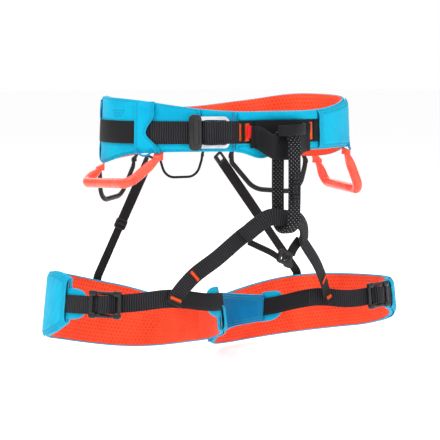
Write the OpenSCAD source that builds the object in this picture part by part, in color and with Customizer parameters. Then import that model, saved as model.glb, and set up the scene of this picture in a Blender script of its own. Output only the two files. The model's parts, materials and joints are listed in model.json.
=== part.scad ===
// Climbing harness: padded waist belt, two padded leg loops, belay loop,
// tie-in loops, gear loops, haul loop, adjusting buckles and rear risers.
// +Z is up, -Y is the wearer's front and +X is the wearer's left.
// The origin is the centre of the waist opening, level with the middle of the waist webbing.

/* [Waist belt] */
// Width across the outside of the padded belt
belt_w = 302; // [270:1:370]
// Depth across the outside of the padded belt, front to back
belt_d = 208; // [185:1:255]
// Height of the belt's top edge over the webbing line, at the front
belt_front_top = 22; // [19:0.5:28]
// Height of the belt's top edge over the webbing line, at the hips
belt_hip_top = 37; // [30:0.5:48]
// Height of the belt's top edge over the webbing line, at the back
belt_back_top = 22; // [19:0.5:34]
// Drop of the belt's bottom edge under the webbing line, at the front
belt_front_drop = 21; // [19:0.5:28]
// Drop of the belt's bottom edge under the webbing line, at the hips
belt_hip_drop = 37; // [30:0.5:48]
// Drop of the belt's bottom edge under the webbing line, at the back
belt_back_drop = 28; // [22:0.5:38]
// How far the belt's face leans out for each millimetre that it goes down
belt_lean = 0.04; // [0:0.01:0.08]

/* [Padding] */
// Thickness of a pad, both fabrics included
pad_t = 7; // [6:0.5:10]
// Thickness of the lining and of the outer shell
fabric_t = 1; // [0.8:0.1:1.4]
// Thickness of a sleeve that lies over the webbing
sleeve_t = 1; // [0.8:0.1:1.6]

/* [Webbing] */
// Width of the waist webbing
webbing_w = 25; // [22:0.5:28]
// Width of the leg webbing
leg_webbing_w = 20; // [16:0.5:22]
// Thickness of the webbing
webbing_t = 2; // [1.5:0.1:2.4]

/* [Leg loops] */
// Width across each leg loop, right and left, at its webbing
leg_w = [192, 209]; // [170:1:220]
// Depth across each leg loop, right and left, at its webbing
leg_d = [214, 220]; // [190:1:240]
// Distance of each leg loop's centre from the middle, right and left
leg_x = [113, 117]; // [108:1:135]
// How far the middle of the leg loops lies behind the middle of the belt
leg_back = 14; // [0:1:30]
// Turn of both leg loops about their own upright axes
leg_turn = 18.5; // [10:0.5:25]
// How far a leg loop's face leans out for each millimetre that it goes down
leg_lean = 0.1; // [0:0.01:0.15]

/* [Belay loop] */
// Height of the belay loop over all
belay_h = 114; // [105:1:125]
// Depth of the belay loop over all, front to back
belay_d = 33; // [31:0.5:36]
// Width of the belay loop's webbing
belay_w = 16; // [14:0.5:18]
// Thickness of the belay loop's layers together
belay_t = 5; // [4:0.25:6]

/* [Gear loops] */
// Outer diameter of the rigid front gear loops
gear_tube_d = 11; // [8:0.5:12]
// Depth of a front gear loop at its deep corner
gear_drop = 47; // [38:1:56]
// Outer diameter of the flexible rear gear loops
rear_tube_d = 6; // [5:0.5:8]
// Depth of a rear gear loop
rear_drop = 38; // [32:1:46]
// Diameter of the haul loop's cord
haul_cord_d = 3; // [2.5:0.25:4]
// Depth of the haul loop
haul_drop = 26; // [22:1:36]

/* [Buckles] */
// Length of the waist buckle's frame along the webbing
buckle_l = 45; // [42:1:50]
// Length of a leg buckle's frame along the webbing
leg_buckle_l = 36; // [33:1:40]
// Thickness of a buckle's frame
buckle_t = 3; // [2.5:0.1:3.5]

/* [Hidden] */

RIGHT = 0;
LEFT = 1;
// Gap between two layers that only lie on each other
gap = 0.4;
// Gap where a strap of the leg loops meets the fixed lower tie-in loop
swing_gap = 3;
// Play of a cord's end in its ring
ring_play = 0.5;

// Angles round the belt, from the front towards the wearer's left
seam_left = -19;
seam_right = -35;
buckle_at = -31;
tail_from = -59;
front_web_to = 20;
patch_from = -11;
patch_to = 14;
left_sleeve = [24, 68];
right_sleeve = [-69, -60.5];
rear_sleeve = [119, 241];
roll = [-18, 23];
lower_flap = [-19, 0];
waist_tacks = [-18.8, -15, 17.2];
tack_arc = 1.7;
label_at = -12.2;
keeper_at = 62;
gear_front = [55, 106];
gear_rear = [114, 154];
haul_at = [168, 190.3];
riser_at = 162;

// Angles round a leg loop, from the front towards the outer side, right and left
leg_outer_edge = [57, 57];
leg_outer_tab = [46, 46];
leg_inner_edge = [-64, -41.5];
leg_inner_tab = [-42, -29.5];
leg_join = [-14, -10.5];
leg_buckle_at = [31.5, 35];
riser_leg_at = 167;

// Edge heights of the leg pads against the angle: five or six heights shape each edge
leg_top_keys = [
    [[57, -162], [80, -156], [127, -166], [180, -185], [235, -204], [296, -192]],
    [[57, -178], [120, -184], [166, -189], [232, -206], [276, -195], [319, -190]]];
leg_bottom_keys = [
    [[57, -203], [81, -224], [127, -242], [190, -260], [240, -248], [296, -222]],
    [[57, -211], [89, -231], [127, -249], [208, -268], [256, -259], [290, -232], [319, -218]]];
leg_webbing_keys = [
    [[-64, -190], [-42, -186], [-10.5, -178], [12, -181], [35, -185], [57, -187]],
    [[-64, -208], [-41.5, -203], [-10.5, -190], [12, -193], [35, -192], [57, -196]]];
leg_mid_z = -205;

// Belay loop: centre, turn at rest and the tie-in bands that run through it
belay_top = 4;
belay_xy = [-5, -belt_d / 2 - 27.5];
belay_yaw = 5;
tie_band_t = 2.4;
lower_band_w = leg_webbing_w;

belt_a = belt_w / 2;
belt_b = belt_d / 2;
over_web = gap + webbing_t + gap;
pivot = [0, belay_xy.y + 14, -117];

// ---- curves -------------------------------------------------------------

function unit(v) = v / norm(v);
function mix(a, b, f) = a + (b - a) * f;
function spread(a, b, n) = [for (i = [0:n]) a + (b - a) * i / n];
function fold_angle(q) = let (r = ((q % 360) + 360) % 360) r > 180 ? 360 - r : r;

// Slope of a curve through keys at key i, level at its ends if flat is true
function key_slope(k, i, flat) =
    i == 0 ? (flat ? 0 : (k[1][1] - k[0][1]) / (k[1][0] - k[0][0]))
    : i == len(k) - 1 ? (flat ? 0 : (k[i][1] - k[i - 1][1]) / (k[i][0] - k[i - 1][0]))
    : (k[i + 1][1] - k[i - 1][1]) / (k[i + 1][0] - k[i - 1][0]);

// Smooth curve through a few [position, value] keys
function curve(x, k, flat = false) =
    x <= k[0][0] ? k[0][1] + (x - k[0][0]) * key_slope(k, 0, flat)
    : x >= k[len(k) - 1][0] ? k[len(k) - 1][1] + (x - k[len(k) - 1][0]) * key_slope(k, len(k) - 1, flat)
    : let (i = max([for (j = [0:len(k) - 2]) k[j][0] <= x ? j : 0]),
           d = k[i + 1][0] - k[i][0],
           f = (x - k[i][0]) / d,
           m0 = key_slope(k, i, flat) * d,
           m1 = key_slope(k, i + 1, flat) * d)
      k[i][1] * (2 * f * f * f - 3 * f * f + 1) + m0 * (f * f * f - 2 * f * f + f)
      + k[i + 1][1] * (3 * f * f - 2 * f * f * f) + m1 * (f * f * f - f * f);

// Smooth path through points, n steps to each span
function smooth_path(p, n) =
    [for (i = [0:len(p) - 2]) for (j = [0:n - (i == len(p) - 2 ? 0 : 1)])
        let (f = j / n,
             m0 = i == 0 ? p[1] - p[0] : (p[i + 1] - p[i - 1]) / 2,
             m1 = i == len(p) - 2 ? p[i + 1] - p[i] : (p[i + 2] - p[i]) / 2)
        p[i] * (2 * f * f * f - 3 * f * f + 1) + m0 * (f * f * f - 2 * f * f + f)
        + p[i + 1] * (3 * f * f - 2 * f * f * f) + m1 * (f * f * f - f * f)];

// Flat path with its inner corners rounded to the radius r, n steps to each corner
function rounded_path(p, r, n = 6) =
    [for (i = [0:len(p) - 1])
        if (r[i] == 0) p[i]
        else
            let (u = unit(p[i - 1] - p[i]), v = unit(p[i + 1] - p[i]),
                 half = acos(u * v) / 2,
                 q = r[i] / tan(half),
                 c = p[i] + unit(u + v) * r[i] / sin(half),
                 from = p[i] + u * q - c, to = p[i] + v * q - c,
                 turn = 180 - 2 * half)
            for (j = [0:n]) c + (from * sin(turn * (1 - j / n)) + to * sin(turn * j / n)) / sin(turn)];

function tangents(p, closed = false) =
    let (n = len(p))
    [for (i = [0:n - 1]) unit(closed ? p[(i + 1) % n] - p[(i + n - 1) % n]
                                     : p[min(i + 1, n - 1)] - p[max(i - 1, 0)])];

// ---- solids from rings ---------------------------------------------------

// Closed solid through rings of points that turn anticlockwise seen from ahead
module skin(rings, closed = false, flip = false) {
    m = len(rings);
    n = len(rings[0]);
    at = function(i, j) (i % m) * n + j % n;
    sides = [for (i = [0:m - (closed ? 1 : 2)]) for (j = [0:n - 1])
        each [[at(i, j), at(i + 1, j), at(i + 1, j + 1)], [at(i, j), at(i + 1, j + 1), at(i, j + 1)]]];
    caps = closed ? [] : [for (j = [1:n - 2]) each
        [[0, j, j + 1], [at(m - 1, 0), at(m - 1, j + 1), at(m - 1, j)]]];
    faces = concat(sides, caps);
    polyhedron([for (r = rings) each r], flip ? [for (f = faces) [f[0], f[2], f[1]]] : faces);
}

// Flat strap along a path, its face turned towards face[i] at each point
module strap(path, face, w, t, closed = false) {
    tan = tangents(path, closed);
    skin([for (i = [0:len(path) - 1])
        let (side = unit(cross(face[i], tan[i])), out = unit(cross(tan[i], side)))
        [path[i] - side * w / 2 - out * t / 2, path[i] + side * w / 2 - out * t / 2,
         path[i] + side * w / 2 + out * t / 2, path[i] - side * w / 2 + out * t / 2]], closed);
}

// Round cord or tube along a path in the plane whose normal is given, r is one radius for each point
module cord(path, normal, r, sides) {
    tan = tangents(path);
    skin([for (i = [0:len(path) - 1])
        let (side = unit(cross(normal, tan[i])), out = unit(cross(tan[i], side)))
        [for (k = [0:sides - 1])
            path[i] + (side * cos(360 * k / sides) + out * sin(360 * k / sides)) * r[i]]]);
}

// Flat plate with rounded corners, centred, standing on its edge along X
module plate(l, h, t, r) {
    rotate([90, 0, 0]) linear_extrude(t, center = true) rounded_rect(l, h, r);
}

module rounded_rect(l, h, r) {
    square([l, h - 2 * r], center = true);
    square([l - 2 * r, h], center = true);
    for (x = [-1, 1], y = [-1, 1]) translate([x * (l / 2 - r), y * (h / 2 - r)]) circle(r, $fn = 32);
}

// Plate as above with a window
module frame(l, h, t, r, window_l, window_h, window_x = 0) {
    difference() {
        plate(l, h, t, r);
        translate([window_x, 0, 0]) plate(window_l, window_h, t * 2, 1.5);
    }
}

// ---- the belt's surface ---------------------------------------------------

function belt_top(q) = curve(fold_angle(q), [
    [0, belt_front_top], [26, belt_front_top + 1], [66, mix(belt_front_top, belt_hip_top, 0.8)],
    [95, belt_hip_top], [122, belt_hip_top], [150, mix(belt_back_top, belt_hip_top, 0.45)],
    [180, belt_back_top]], true);
function belt_bottom(q) = -curve(fold_angle(q), [
    [0, belt_front_drop + 1], [24, belt_front_drop], [50, belt_front_drop],
    [72, mix(belt_front_drop, belt_hip_drop, 0.2)], [95, mix(belt_front_drop, belt_hip_drop, 0.8)],
    [115, belt_hip_drop], [140, mix(belt_back_drop, belt_hip_drop, 0.7)], [180, belt_back_drop]], true);
function belt_normal(q) = unit([belt_b * sin(q), -belt_a * cos(q)]);
function belt_heading(q) = atan2(belt_b * sin(q), belt_a * cos(q));
function belt_xy(q, o) = [belt_a * sin(q), -belt_b * cos(q)] + belt_normal(q) * o;
function belt_at(q, o, z) = let (p = belt_xy(q, o - belt_lean * z)) [p.x, p.y, z];

// Layer on the belt between two angles, two heights and two distances from the shell's face
module belt_layer(q0, q1, lo, hi, o0, o1, steps) {
    skin([for (q = spread(q0, q1, steps))
        [belt_at(q, o0, lo(q)), belt_at(q, o0, hi(q)), belt_at(q, o1, hi(q)), belt_at(q, o1, lo(q))]]);
}

module belt_band(q0, q1, w, o, t, steps) {
    belt_layer(q0, q1, function(q) -w / 2, function(q) w / 2, o, o + t, steps);
}

module on_belt(q, o, z) {
    translate(belt_at(q, o, z)) rotate([0, 0, belt_heading(q)]) rotate([-atan(belt_lean), 0, 0]) children();
}

// ---- a leg loop's surface ---------------------------------------------------

function leg_side(s) = s == RIGHT ? -1 : 1;
function leg_top_of(s, q) = curve(q < 0 ? q + 360 : q, leg_top_keys[s]);
function leg_bottom_of(s, q) = curve(q < 0 ? q + 360 : q, leg_bottom_keys[s]);
function leg_webbing_z(s, q) = curve(q, leg_webbing_keys[s]);
function leg_q(s, q) = leg_side(s) * q - leg_turn;
function leg_normal(s, q) = unit([leg_d[s] * sin(leg_q(s, q)), -leg_w[s] * cos(leg_q(s, q))]);
function leg_heading(s, q) = atan2(leg_d[s] * sin(leg_q(s, q)), leg_w[s] * cos(leg_q(s, q)));
function leg_xy(s, q, o) = [leg_side(s) * leg_x[s], leg_back]
    + [leg_w[s] / 2 * sin(leg_q(s, q)), -leg_d[s] / 2 * cos(leg_q(s, q))] + leg_normal(s, q) * o;
function leg_at(s, q, o, z) = let (p = leg_xy(s, q, o - leg_lean * (z - leg_mid_z))) [p.x, p.y, z];

module leg_layer(s, q0, q1, lo, hi, o0, o1, steps) {
    skin([for (q = spread(q0, q1, steps))
        [leg_at(s, q, o0, lo(q)), leg_at(s, q, o0, hi(q)), leg_at(s, q, o1, hi(q)), leg_at(s, q, o1, lo(q))]],
        flip = s == RIGHT);
}

module leg_band(s, q0, q1, w, o, t, steps) {
    leg_layer(s, q0, q1, function(q) leg_webbing_z(s, q) - w / 2, function(q) leg_webbing_z(s, q) + w / 2,
        o, o + t, steps);
}

module on_leg(s, q, o, z) {
    translate(leg_at(s, q, o, z)) rotate([0, 0, leg_heading(s, q)]) rotate([-atan(leg_lean), 0, 0]) children();
}

// ---- waist belt -------------------------------------------------------------

module belt_pad_layer(o0, o1) {
    belt_layer(seam_left, 360 + seam_right, function(q) belt_bottom(q), function(q) belt_top(q), o0, o1, 84);
}

module waist_lining() {
    color("tomato") belt_pad_layer(-pad_t, -pad_t + fabric_t);
}

module waist_foam_core() {
    color("lightgrey") belt_pad_layer(-pad_t + fabric_t, -fabric_t);
}

module waist_outer_shell() {
    color("deepskyblue") belt_pad_layer(-fabric_t, 0);
}

// Loose pad between the two ends of the belt, behind the buckle
module waist_slider_pad() {
    color("deepskyblue") belt_layer(seam_right + 0.4, seam_left - 0.4,
        function(q) belt_bottom(q) - 0.5, function(q) belt_top(q) + 1, -pad_t, 0, 8);
}

module waist_webbing_main() {
    color("#1b1b1d") belt_band(front_web_to + 0.4, 360 + tail_from - 0.4, webbing_w, gap, webbing_t, 70);
}

// Ribbed tail that runs under the buckle, and its fold over the slider bar
module waist_webbing_tail() {
    color("#242426") {
        belt_band(tail_from, seam_left - 0.6, webbing_w, gap, webbing_t, 14);
        on_belt(buckle_at, 0, 0) translate([hump_at, 0, 0]) hump(webbing_w, 11, 4);
    }
}

module waist_webbing_front() {
    color("#1b1b1d") belt_band(seam_left, front_web_to, webbing_w, gap, webbing_t, 14);
}

module sleeve_on_belt(q0, q1, steps) {
    belt_layer(q0, q1, function(q) belt_bottom(q), function(q) belt_top(q), over_web, over_web + sleeve_t, steps);
}

module waist_rear_sleeve() {
    color("deepskyblue") sleeve_on_belt(rear_sleeve[0], rear_sleeve[1], 40);
}

module waist_left_sleeve() {
    color("deepskyblue") sleeve_on_belt(left_sleeve[0], left_sleeve[1], 18);
}

// Strap that narrows over the webbing and spreads to the belt's edges
module waist_right_sleeve() {
    waist_at = function(z) 1 - 0.45 * max(0, cos(z * 90 / (webbing_w * 0.9)));
    color("deepskyblue") skin([for (z = spread(belt_bottom(-65) + 0.5, belt_top(-65) - 0.5, 12))
        let (mid = (right_sleeve[0] + right_sleeve[1]) / 2, half = (right_sleeve[1] - right_sleeve[0]) / 2,
             a = mid - half * waist_at(z), b = mid + half * waist_at(z))
        [belt_at(a, over_web, z), belt_at(b, over_web, z),
         belt_at(b, over_web + sleeve_t, z), belt_at(a, over_web + sleeve_t, z)]], flip = true);
}

module waist_front_roll() {
    color("deepskyblue") belt_layer(roll[0], roll[1], function(q) webbing_w / 2 + gap,
        function(q) belt_top(q), gap, 4.5, 14);
}

module waist_lower_flap() {
    bulge = function(q) 7 * exp(-pow((q + 8) / 6.5, 2));
    color("deepskyblue") belt_layer(lower_flap[0], lower_flap[1], function(q) belt_bottom(q) - bulge(q),
        function(q) -webbing_w / 2 - gap, gap, over_web - 0.2, 12);
}

module waist_bar_tacks() {
    color("orangered") for (q = waist_tacks)
        belt_layer(q, q + tack_arc, function(q) -9, function(q) 9, over_web, over_web + 0.8, 1);
}

module waist_label_tab() {
    color("crimson") belt_layer(label_at - 0.8, label_at + 0.8, function(q) -3, function(q) 4,
        over_web, over_web + 1, 1);
}

// Cord keepers: a bight under each hip sleeve and a tab by each rear sleeve
module waist_keepers() {
    bight_r = 1.1;
    color("deepskyblue") {
        for (side = [-1, 1]) {
            q = side * keeper_at;
            n = belt_normal(q);
            c = belt_at(q, over_web + sleeve_t + bight_r + gap, belt_bottom(q) + 3);
            along = [-n.y, n.x, 0];
            cord([for (k = spread(0, 180, 10)) c + along * 8 * cos(k) + [0, 0, -6 * sin(k)]],
                [n.x, n.y, 0], [for (k = [0:10]) bight_r], 8);
        }
        for (q = [116.2, 242])
            belt_layer(q, q + 2, function(q) 12, function(q) belt_top(q) - 4, over_web, over_web + sleeve_t, 1);
    }
}

// ---- buckles ------------------------------------------------------------------

// The frames stand off the pad's face: room for the webbing and for the curve behind a flat frame
rise = over_web + 0.4;
frame_bar = 4.5;
frame_rail = 5;
hump_at = 2;
slider_l = 5;
slider_play = 0.6;

// Fold of webbing over a slider bar, flat over the bar and low at both ends
module hump(w, reach, foot) {
    top = rise + buckle_t + webbing_t / 2 + 1;
    low = rise + webbing_t / 2 + 0.2;
    path = smooth_path([[-reach - foot, -low, 0], [-reach + 2, -low, 0], [-reach / 2, -top, 0],
        [reach / 2, -top, 0], [reach - 2, -low, 0], [reach + foot, -low, 0]], 4);
    strap(path, [for (p = path) [0.01, -1, 0]], w, webbing_t);
}

module buckle_frame(l, w, r) {
    translate([0, -rise - buckle_t / 2, 0])
        frame(l, w + 2 * (slider_play + frame_rail) + 1, buckle_t, r,
            l - 2 * frame_bar, w + 2 * slider_play + 1);
}

// Bar that the webbing folds over, with a ridge that grips it
module buckle_slider(w, l) {
    translate([0, -rise - buckle_t / 2, 0]) {
        cube([l, buckle_t, w + 1], center = true);
        for (x = [-l / 2 + 1, l / 2 - 1]) translate([x, -buckle_t / 2, 0])
            cylinder(h = w - 2, d = 0.9, center = true, $fn = 16);
    }
}

module waist_buckle_frame() {
    color("silver") on_belt(buckle_at, 0, 0) buckle_frame(buckle_l, webbing_w, 4);
}

// Black plate over the end of the frame that the tail comes from
module waist_buckle_plate() {
    plate_l = 14;
    color("#161618") on_belt(buckle_at, 0, 0)
        translate([-buckle_l / 2 + plate_l / 2 - 0.5, -rise - buckle_t * 1.5 - 0.3, 0])
            frame(plate_l, webbing_w + 2 * (slider_play + frame_rail) + 3, buckle_t, 5.5, 4, webbing_w, 1.5);
}

module waist_buckle_slider() {
    color("#161618") on_belt(buckle_at, 0, 0) translate([hump_at, 0, 0]) buckle_slider(webbing_w, slider_l);
}

// ---- tie-in points and belay loop -----------------------------------------------

module tie_in_patch() {
    color("#141416") belt_layer(patch_from, patch_to, function(q) -webbing_w / 2 - 2,
        function(q) webbing_w / 2 - 0.5, over_web, over_web + 1.2, 12);
}

function at3(p, z) = [p.x, p.y, z];

// Band from the belt round the belay loop's top and back to the belt
upper_band = smooth_path([
    at3(belt_xy(patch_from - 2, over_web + 3.8), -5), at3(belt_xy(patch_from + 1, over_web + 5), -6),
    at3(belay_xy + [-15, 4], -15), at3(belay_xy + [-8, 1], -17), at3(belay_xy + [13, 3], -17),
    at3(belt_xy(patch_to - 2, over_web + 6), -11), at3(belt_xy(patch_to + 2, over_web + 3), -10)], 4);

module upper_tie_in_loop() {
    color("#141416") strap(upper_band, [for (t = tangents(upper_band)) [t.y, -t.x, 0]], webbing_w, tie_band_t);
}

// Outline of the belay loop through the middle of its webbing, in its own upright plane
function belay_outline(n) = let (r = (belay_d - belay_t) / 2, h = belay_h / 2 - belay_d / 2) concat(
    [for (k = spread(0, 180, n)) [0, r * cos(k), h + r * sin(k)]],
    [for (f = spread(0, 1, 6)) if (f > 0 && f < 1) [0, -r, mix(h, -h, f)]],
    [for (k = spread(180, 360, n)) [0, r * cos(k), -h + r * sin(k)]],
    [for (f = spread(0, 1, 6)) if (f > 0 && f < 1) [0, r, mix(-h, h, f)]]);

module on_belay() {
    translate([belay_xy.x, belay_xy.y, belay_top - belay_h / 2]) rotate([0, 0, belay_yaw]) children();
}

module belay_loop() {
    loop = belay_outline(10);
    color("#1d1d20") on_belay() strap(loop,
        [for (p = loop) let (c = max(-belay_h / 2 + belay_d / 2, min(belay_h / 2 - belay_d / 2, p.z)))
            [0, p.y, p.z - c]], belay_w, belay_t, closed = true);
}

// Sewn overlap of the webbing on the front run
module belay_loop_stitching() {
    color("#2b2b2f") on_belay() translate([0, -belay_d / 2 - 0.3 - 0.6, -8])
        plate(belay_w - 1, 34, 1.2, 1);
}

// Band through the belay loop's foot: its ends carry the leg loops' bridge straps
lower_band = smooth_path([
    [-50, pivot.y + 2, pivot.z + 4], [-36, pivot.y - 3, pivot.z + 16], [-22, pivot.y - 9, pivot.z + 25],
    [belay_xy.x, belay_xy.y, pivot.z + 23.5], [12, pivot.y - 11, pivot.z + 21],
    [24, pivot.y - 5, pivot.z + 12], [29, pivot.y, pivot.z - 4]], 5);
lower_faces = [for (i = [0:len(lower_band) - 1]) mix([-0.15, -1, 0.1], [0.5, -1, 0.25], i / (len(lower_band) - 1))];

module lower_tie_in_loop() {
    color("#141416") strap(lower_band, lower_faces, lower_band_w, tie_band_t);
}

hook_at = [4, pivot.y + 2, pivot.z - 21];

module lower_tie_in_strap() {
    thin = smooth_path([[-41, pivot.y + 6, pivot.z - 2], [-28, pivot.y + 5, pivot.z - 8],
        [-13, pivot.y + 4, pivot.z - 15], [hook_at.x - 8, hook_at.y, hook_at.z]], 4);
    short = smooth_path([[hook_at.x + 8, hook_at.y, hook_at.z + 3], [17, pivot.y + 3, pivot.z - 11],
        [26, pivot.y + 5, pivot.z - 3]], 3);
    color("#1b1b1d") {
        strap(thin, [for (p = thin) [0.05, -1, 0.3]], 6, 1.6);
        strap(short, [for (p = short) [-0.05, -1, 0.3]], 9, 2.4);
    }
}

module lower_tie_in_hook() {
    color("#0f0f10") translate(hook_at) rotate([0, 22, 0]) difference() {
        union() {
            plate(13, 12, 4.6, 3.5);
            translate([5, 0, -4]) plate(7, 6, 4.6, 2.5);
        }
        translate([-1, 0, 1.5]) plate(6, 3, 10, 1);
    }
}

// ---- gear loops and haul loop ----------------------------------------------------

// A gear loop hangs on a line between two rings under the belt's edge. Its frame is
// [first end, unit vector along the line, unit vector down the loop, length of the line].
ring_drop = 6.5;
function ring_at(q, drop) = belt_at(q, 1, belt_bottom(q) - drop);
function loop_frame(side, q, tilt, drop = ring_drop) =
    let (f = ring_at(side * q[0], drop), r = ring_at(side * q[1], drop), c = unit(r - f),
         out = unit(cross(c, [0, 0, 1])) * side, down = unit([0, 0, -1] + c * c.z))
    [f, c, down * cos(tilt) + out * sin(tilt), norm(r - f)];
function in_frame(fr, p) = fr[0] + fr[1] * p.x + fr[2] * p.y;

// Loop of tube: thin stubs run out through the rings and the tube proper starts below them
module gear_loop(fr, outline, radii, tube_d, pin_d) {
    flat = rounded_path(outline, radii);
    cord([for (p = flat) in_frame(fr, p)], cross(fr[1], fr[2]),
        [for (p = flat) p.y < 5.6 ? pin_d / 2 : tube_d / 2], 10);
}

front_tilt = [58, 22];
rear_tilt = 5;
front_pin_d = 4.4;
rear_pin_d = 3.2;

module gear_loop_front(s) {
    fr = loop_frame(leg_side(s), gear_front, front_tilt[s]);
    l = fr[3];
    color("tomato") gear_loop(fr,
        [[-6.5, 0], [0, 0], [0.6, 5.5], [1.2, 9], [7, gear_drop], [l + 2, gear_drop * 0.58],
         [l - 0.4, 9], [l - 0.2, 5.5], [l, 0], [l + 6.5, 0]],
        [0, 2.6, 0, 0, 12, 10, 0, 0, 2.6, 0], gear_tube_d, front_pin_d);
}

module gear_loop_rear(s) {
    fr = loop_frame(leg_side(s), gear_rear, rear_tilt);
    l = fr[3];
    color("#1a1a1c") gear_loop(fr,
        [[-6, 0], [0, 0], [0.4, 5.5], [0.8, 8], [6, rear_drop], [l - 30, rear_drop],
         [l - 2, 8], [l - 1, 5.5], [l, 0], [l + 6, 0]],
        [0, 2.2, 0, 0, 20, 26, 0, 0, 2.2, 0], rear_tube_d, rear_pin_d);
}

module gear_loop_front_right() { gear_loop_front(RIGHT); }
module gear_loop_front_left() { gear_loop_front(LEFT); }
module gear_loop_rear_right() { gear_loop_rear(RIGHT); }
module gear_loop_rear_left() { gear_loop_rear(LEFT); }

haul_frame = loop_frame(1, haul_at, 0);

module haul_loop() {
    l = haul_frame[3];
    color("#1a1a1c") gear_loop(haul_frame,
        [[-6, 0], [0, 0], [1.2, 6], [8, haul_drop], [l - 8, haul_drop], [l - 1.2, 6], [l, 0], [l + 6, 0]],
        [0, 2.2, 0, 17, 17, 0, 2.2, 0], haul_cord_d, haul_cord_d);
}

module pose(origin, x, z) {
    y = cross(z, x);
    multmatrix([[x.x, y.x, z.x, origin.x], [x.y, y.y, z.y, origin.y], [x.z, y.z, z.z, origin.z], [0, 0, 0, 1]])
        children();
}

// Ring and tongue for one end of a loop: dir points away from the loop along its line
module ring_tab(end, dir, q, pin_d) {
    bore = pin_d / 2 + ring_play;
    x = unit(cross([0, 0, 1], dir));
    pose(end + dir * 4.4, x, dir) rotate_extrude($fn = 24)
        translate([bore + 1.1, 0]) square([2.2, 3], center = true);
    belt_layer(q - 1.5, q + 1.5, function(q) belt_bottom(q) - ring_drop + bore + 0.6,
        function(q) belt_bottom(q) + 7, 0.3, 1.5, 1);
}

module loop_tabs(side, fr, q, pin_d) {
    step = 4.4 / (norm([belt_a * cos(q[0]), belt_b * sin(q[0])]) * PI / 180);
    step_end = 4.4 / (norm([belt_a * cos(q[1]), belt_b * sin(q[1])]) * PI / 180);
    ring_tab(fr[0], -fr[1], side * (q[0] - step), pin_d);
    ring_tab(fr[0] + fr[1] * fr[3], fr[1], side * (q[1] + step_end), pin_d);
}

module gear_loop_tabs() {
    color("deepskyblue") {
        for (side = [-1, 1]) {
            loop_tabs(side, loop_frame(side, gear_front, 0), gear_front, front_pin_d);
            loop_tabs(side, loop_frame(side, gear_rear, 0), gear_rear, rear_pin_d);
        }
        loop_tabs(1, haul_frame, haul_at, haul_cord_d);
    }
}

// ---- rear risers -----------------------------------------------------------------

// A riser runs straight from under the belt to the leg loop's back edge, then down its outer face
riser_from = [for (s = [RIGHT, LEFT]) let (q = leg_side(s) * riser_at)
    belt_at(q, 0.5 - pad_t, belt_bottom(q) - 4)];
riser_to = [for (s = [RIGHT, LEFT]) leg_at(s, riser_leg_at, 1.6, leg_top_of(s, riser_leg_at) + 4)];
riser_end = [for (s = [RIGHT, LEFT]) leg_at(s, riser_leg_at, 1.6, leg_top_of(s, riser_leg_at) - 12)];
riser_dir = [for (s = [RIGHT, LEFT]) unit(riser_to[s] - riser_from[s])];
riser_l = [for (s = [RIGHT, LEFT]) norm(riser_to[s] - riser_from[s])];
function on_riser(s, d) = riser_from[s] + riser_dir[s] * d;
strap_from = 14;
adjuster_l = 13;
function adjuster_from(s) = riser_l[s] * 0.52;

module riser_frame(s, d) {
    side = unit(cross(riser_dir[s], [0, 1, 0]));
    pose(on_riser(s, d), side, riser_dir[s]) children();
}

module riser_hooks() {
    color("#0f0f10") for (s = [RIGHT, LEFT]) riser_frame(s, 7) {
        frame(12, 13, 2.4, 2, 7, 5);
        translate([0, 0, -5.8]) cube([9, 1.4, 2], center = true);
    }
}

module riser_adjusters() {
    color("#0f0f10") for (s = [RIGHT, LEFT]) riser_frame(s, adjuster_from(s) + adjuster_l / 2)
        difference() {
            plate(15, adjuster_l, 3.4, 2.5);
            for (z = [-3, 3]) translate([0, 0, z]) plate(11, 3, 8, 1);
        }
}

// Turn of a riser's face, from square to the belt's back to flat on the leg loop
function riser_face(s, f) = let (n = leg_normal(s, riser_leg_at)) mix([0, 1, 0], [n.x, n.y, 0], f);

module riser_strap(s) {
    path = [for (d = spread(strap_from, adjuster_from(s) - 0.6, 8)) on_riser(s, d)];
    color("#1b1b1d") strap(path, [for (p = path) riser_face(s, 0)], 12, 2);
}

module riser_elastic(s) {
    run = [for (d = spread(adjuster_from(s) + adjuster_l + 0.6, riser_l[s] - 6, 8)) on_riser(s, d)];
    foot = [riser_to[s] - [0, 0, 1], mix(riser_to[s], riser_end[s], 0.5), riser_end[s]];
    path = concat(run, foot);
    color("#1b1b1d") strap(path, [for (i = [0:len(path) - 1]) riser_face(s, min(1, i / len(run)))], 9, 1.4);
}

module riser_strap_right() { riser_strap(RIGHT); }
module riser_strap_left() { riser_strap(LEFT); }
module riser_elastic_right() { riser_elastic(RIGHT); }
module riser_elastic_left() { riser_elastic(LEFT); }

// ---- leg loops -------------------------------------------------------------------

module leg_pad_layer(s, o0, o1) {
    leg_layer(s, leg_outer_edge[s], 360 + leg_inner_edge[s], function(q) leg_bottom_of(s, q),
        function(q) leg_top_of(s, q), o0, o1, 56);
}

module leg_lining(s) { color("tomato") leg_pad_layer(s, -pad_t, -pad_t + fabric_t); }
module leg_foam_core(s) { color("lightgrey") leg_pad_layer(s, -pad_t + fabric_t, -fabric_t); }
module leg_outer_shell(s) { color("deepskyblue") leg_pad_layer(s, -fabric_t, 0); }

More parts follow.
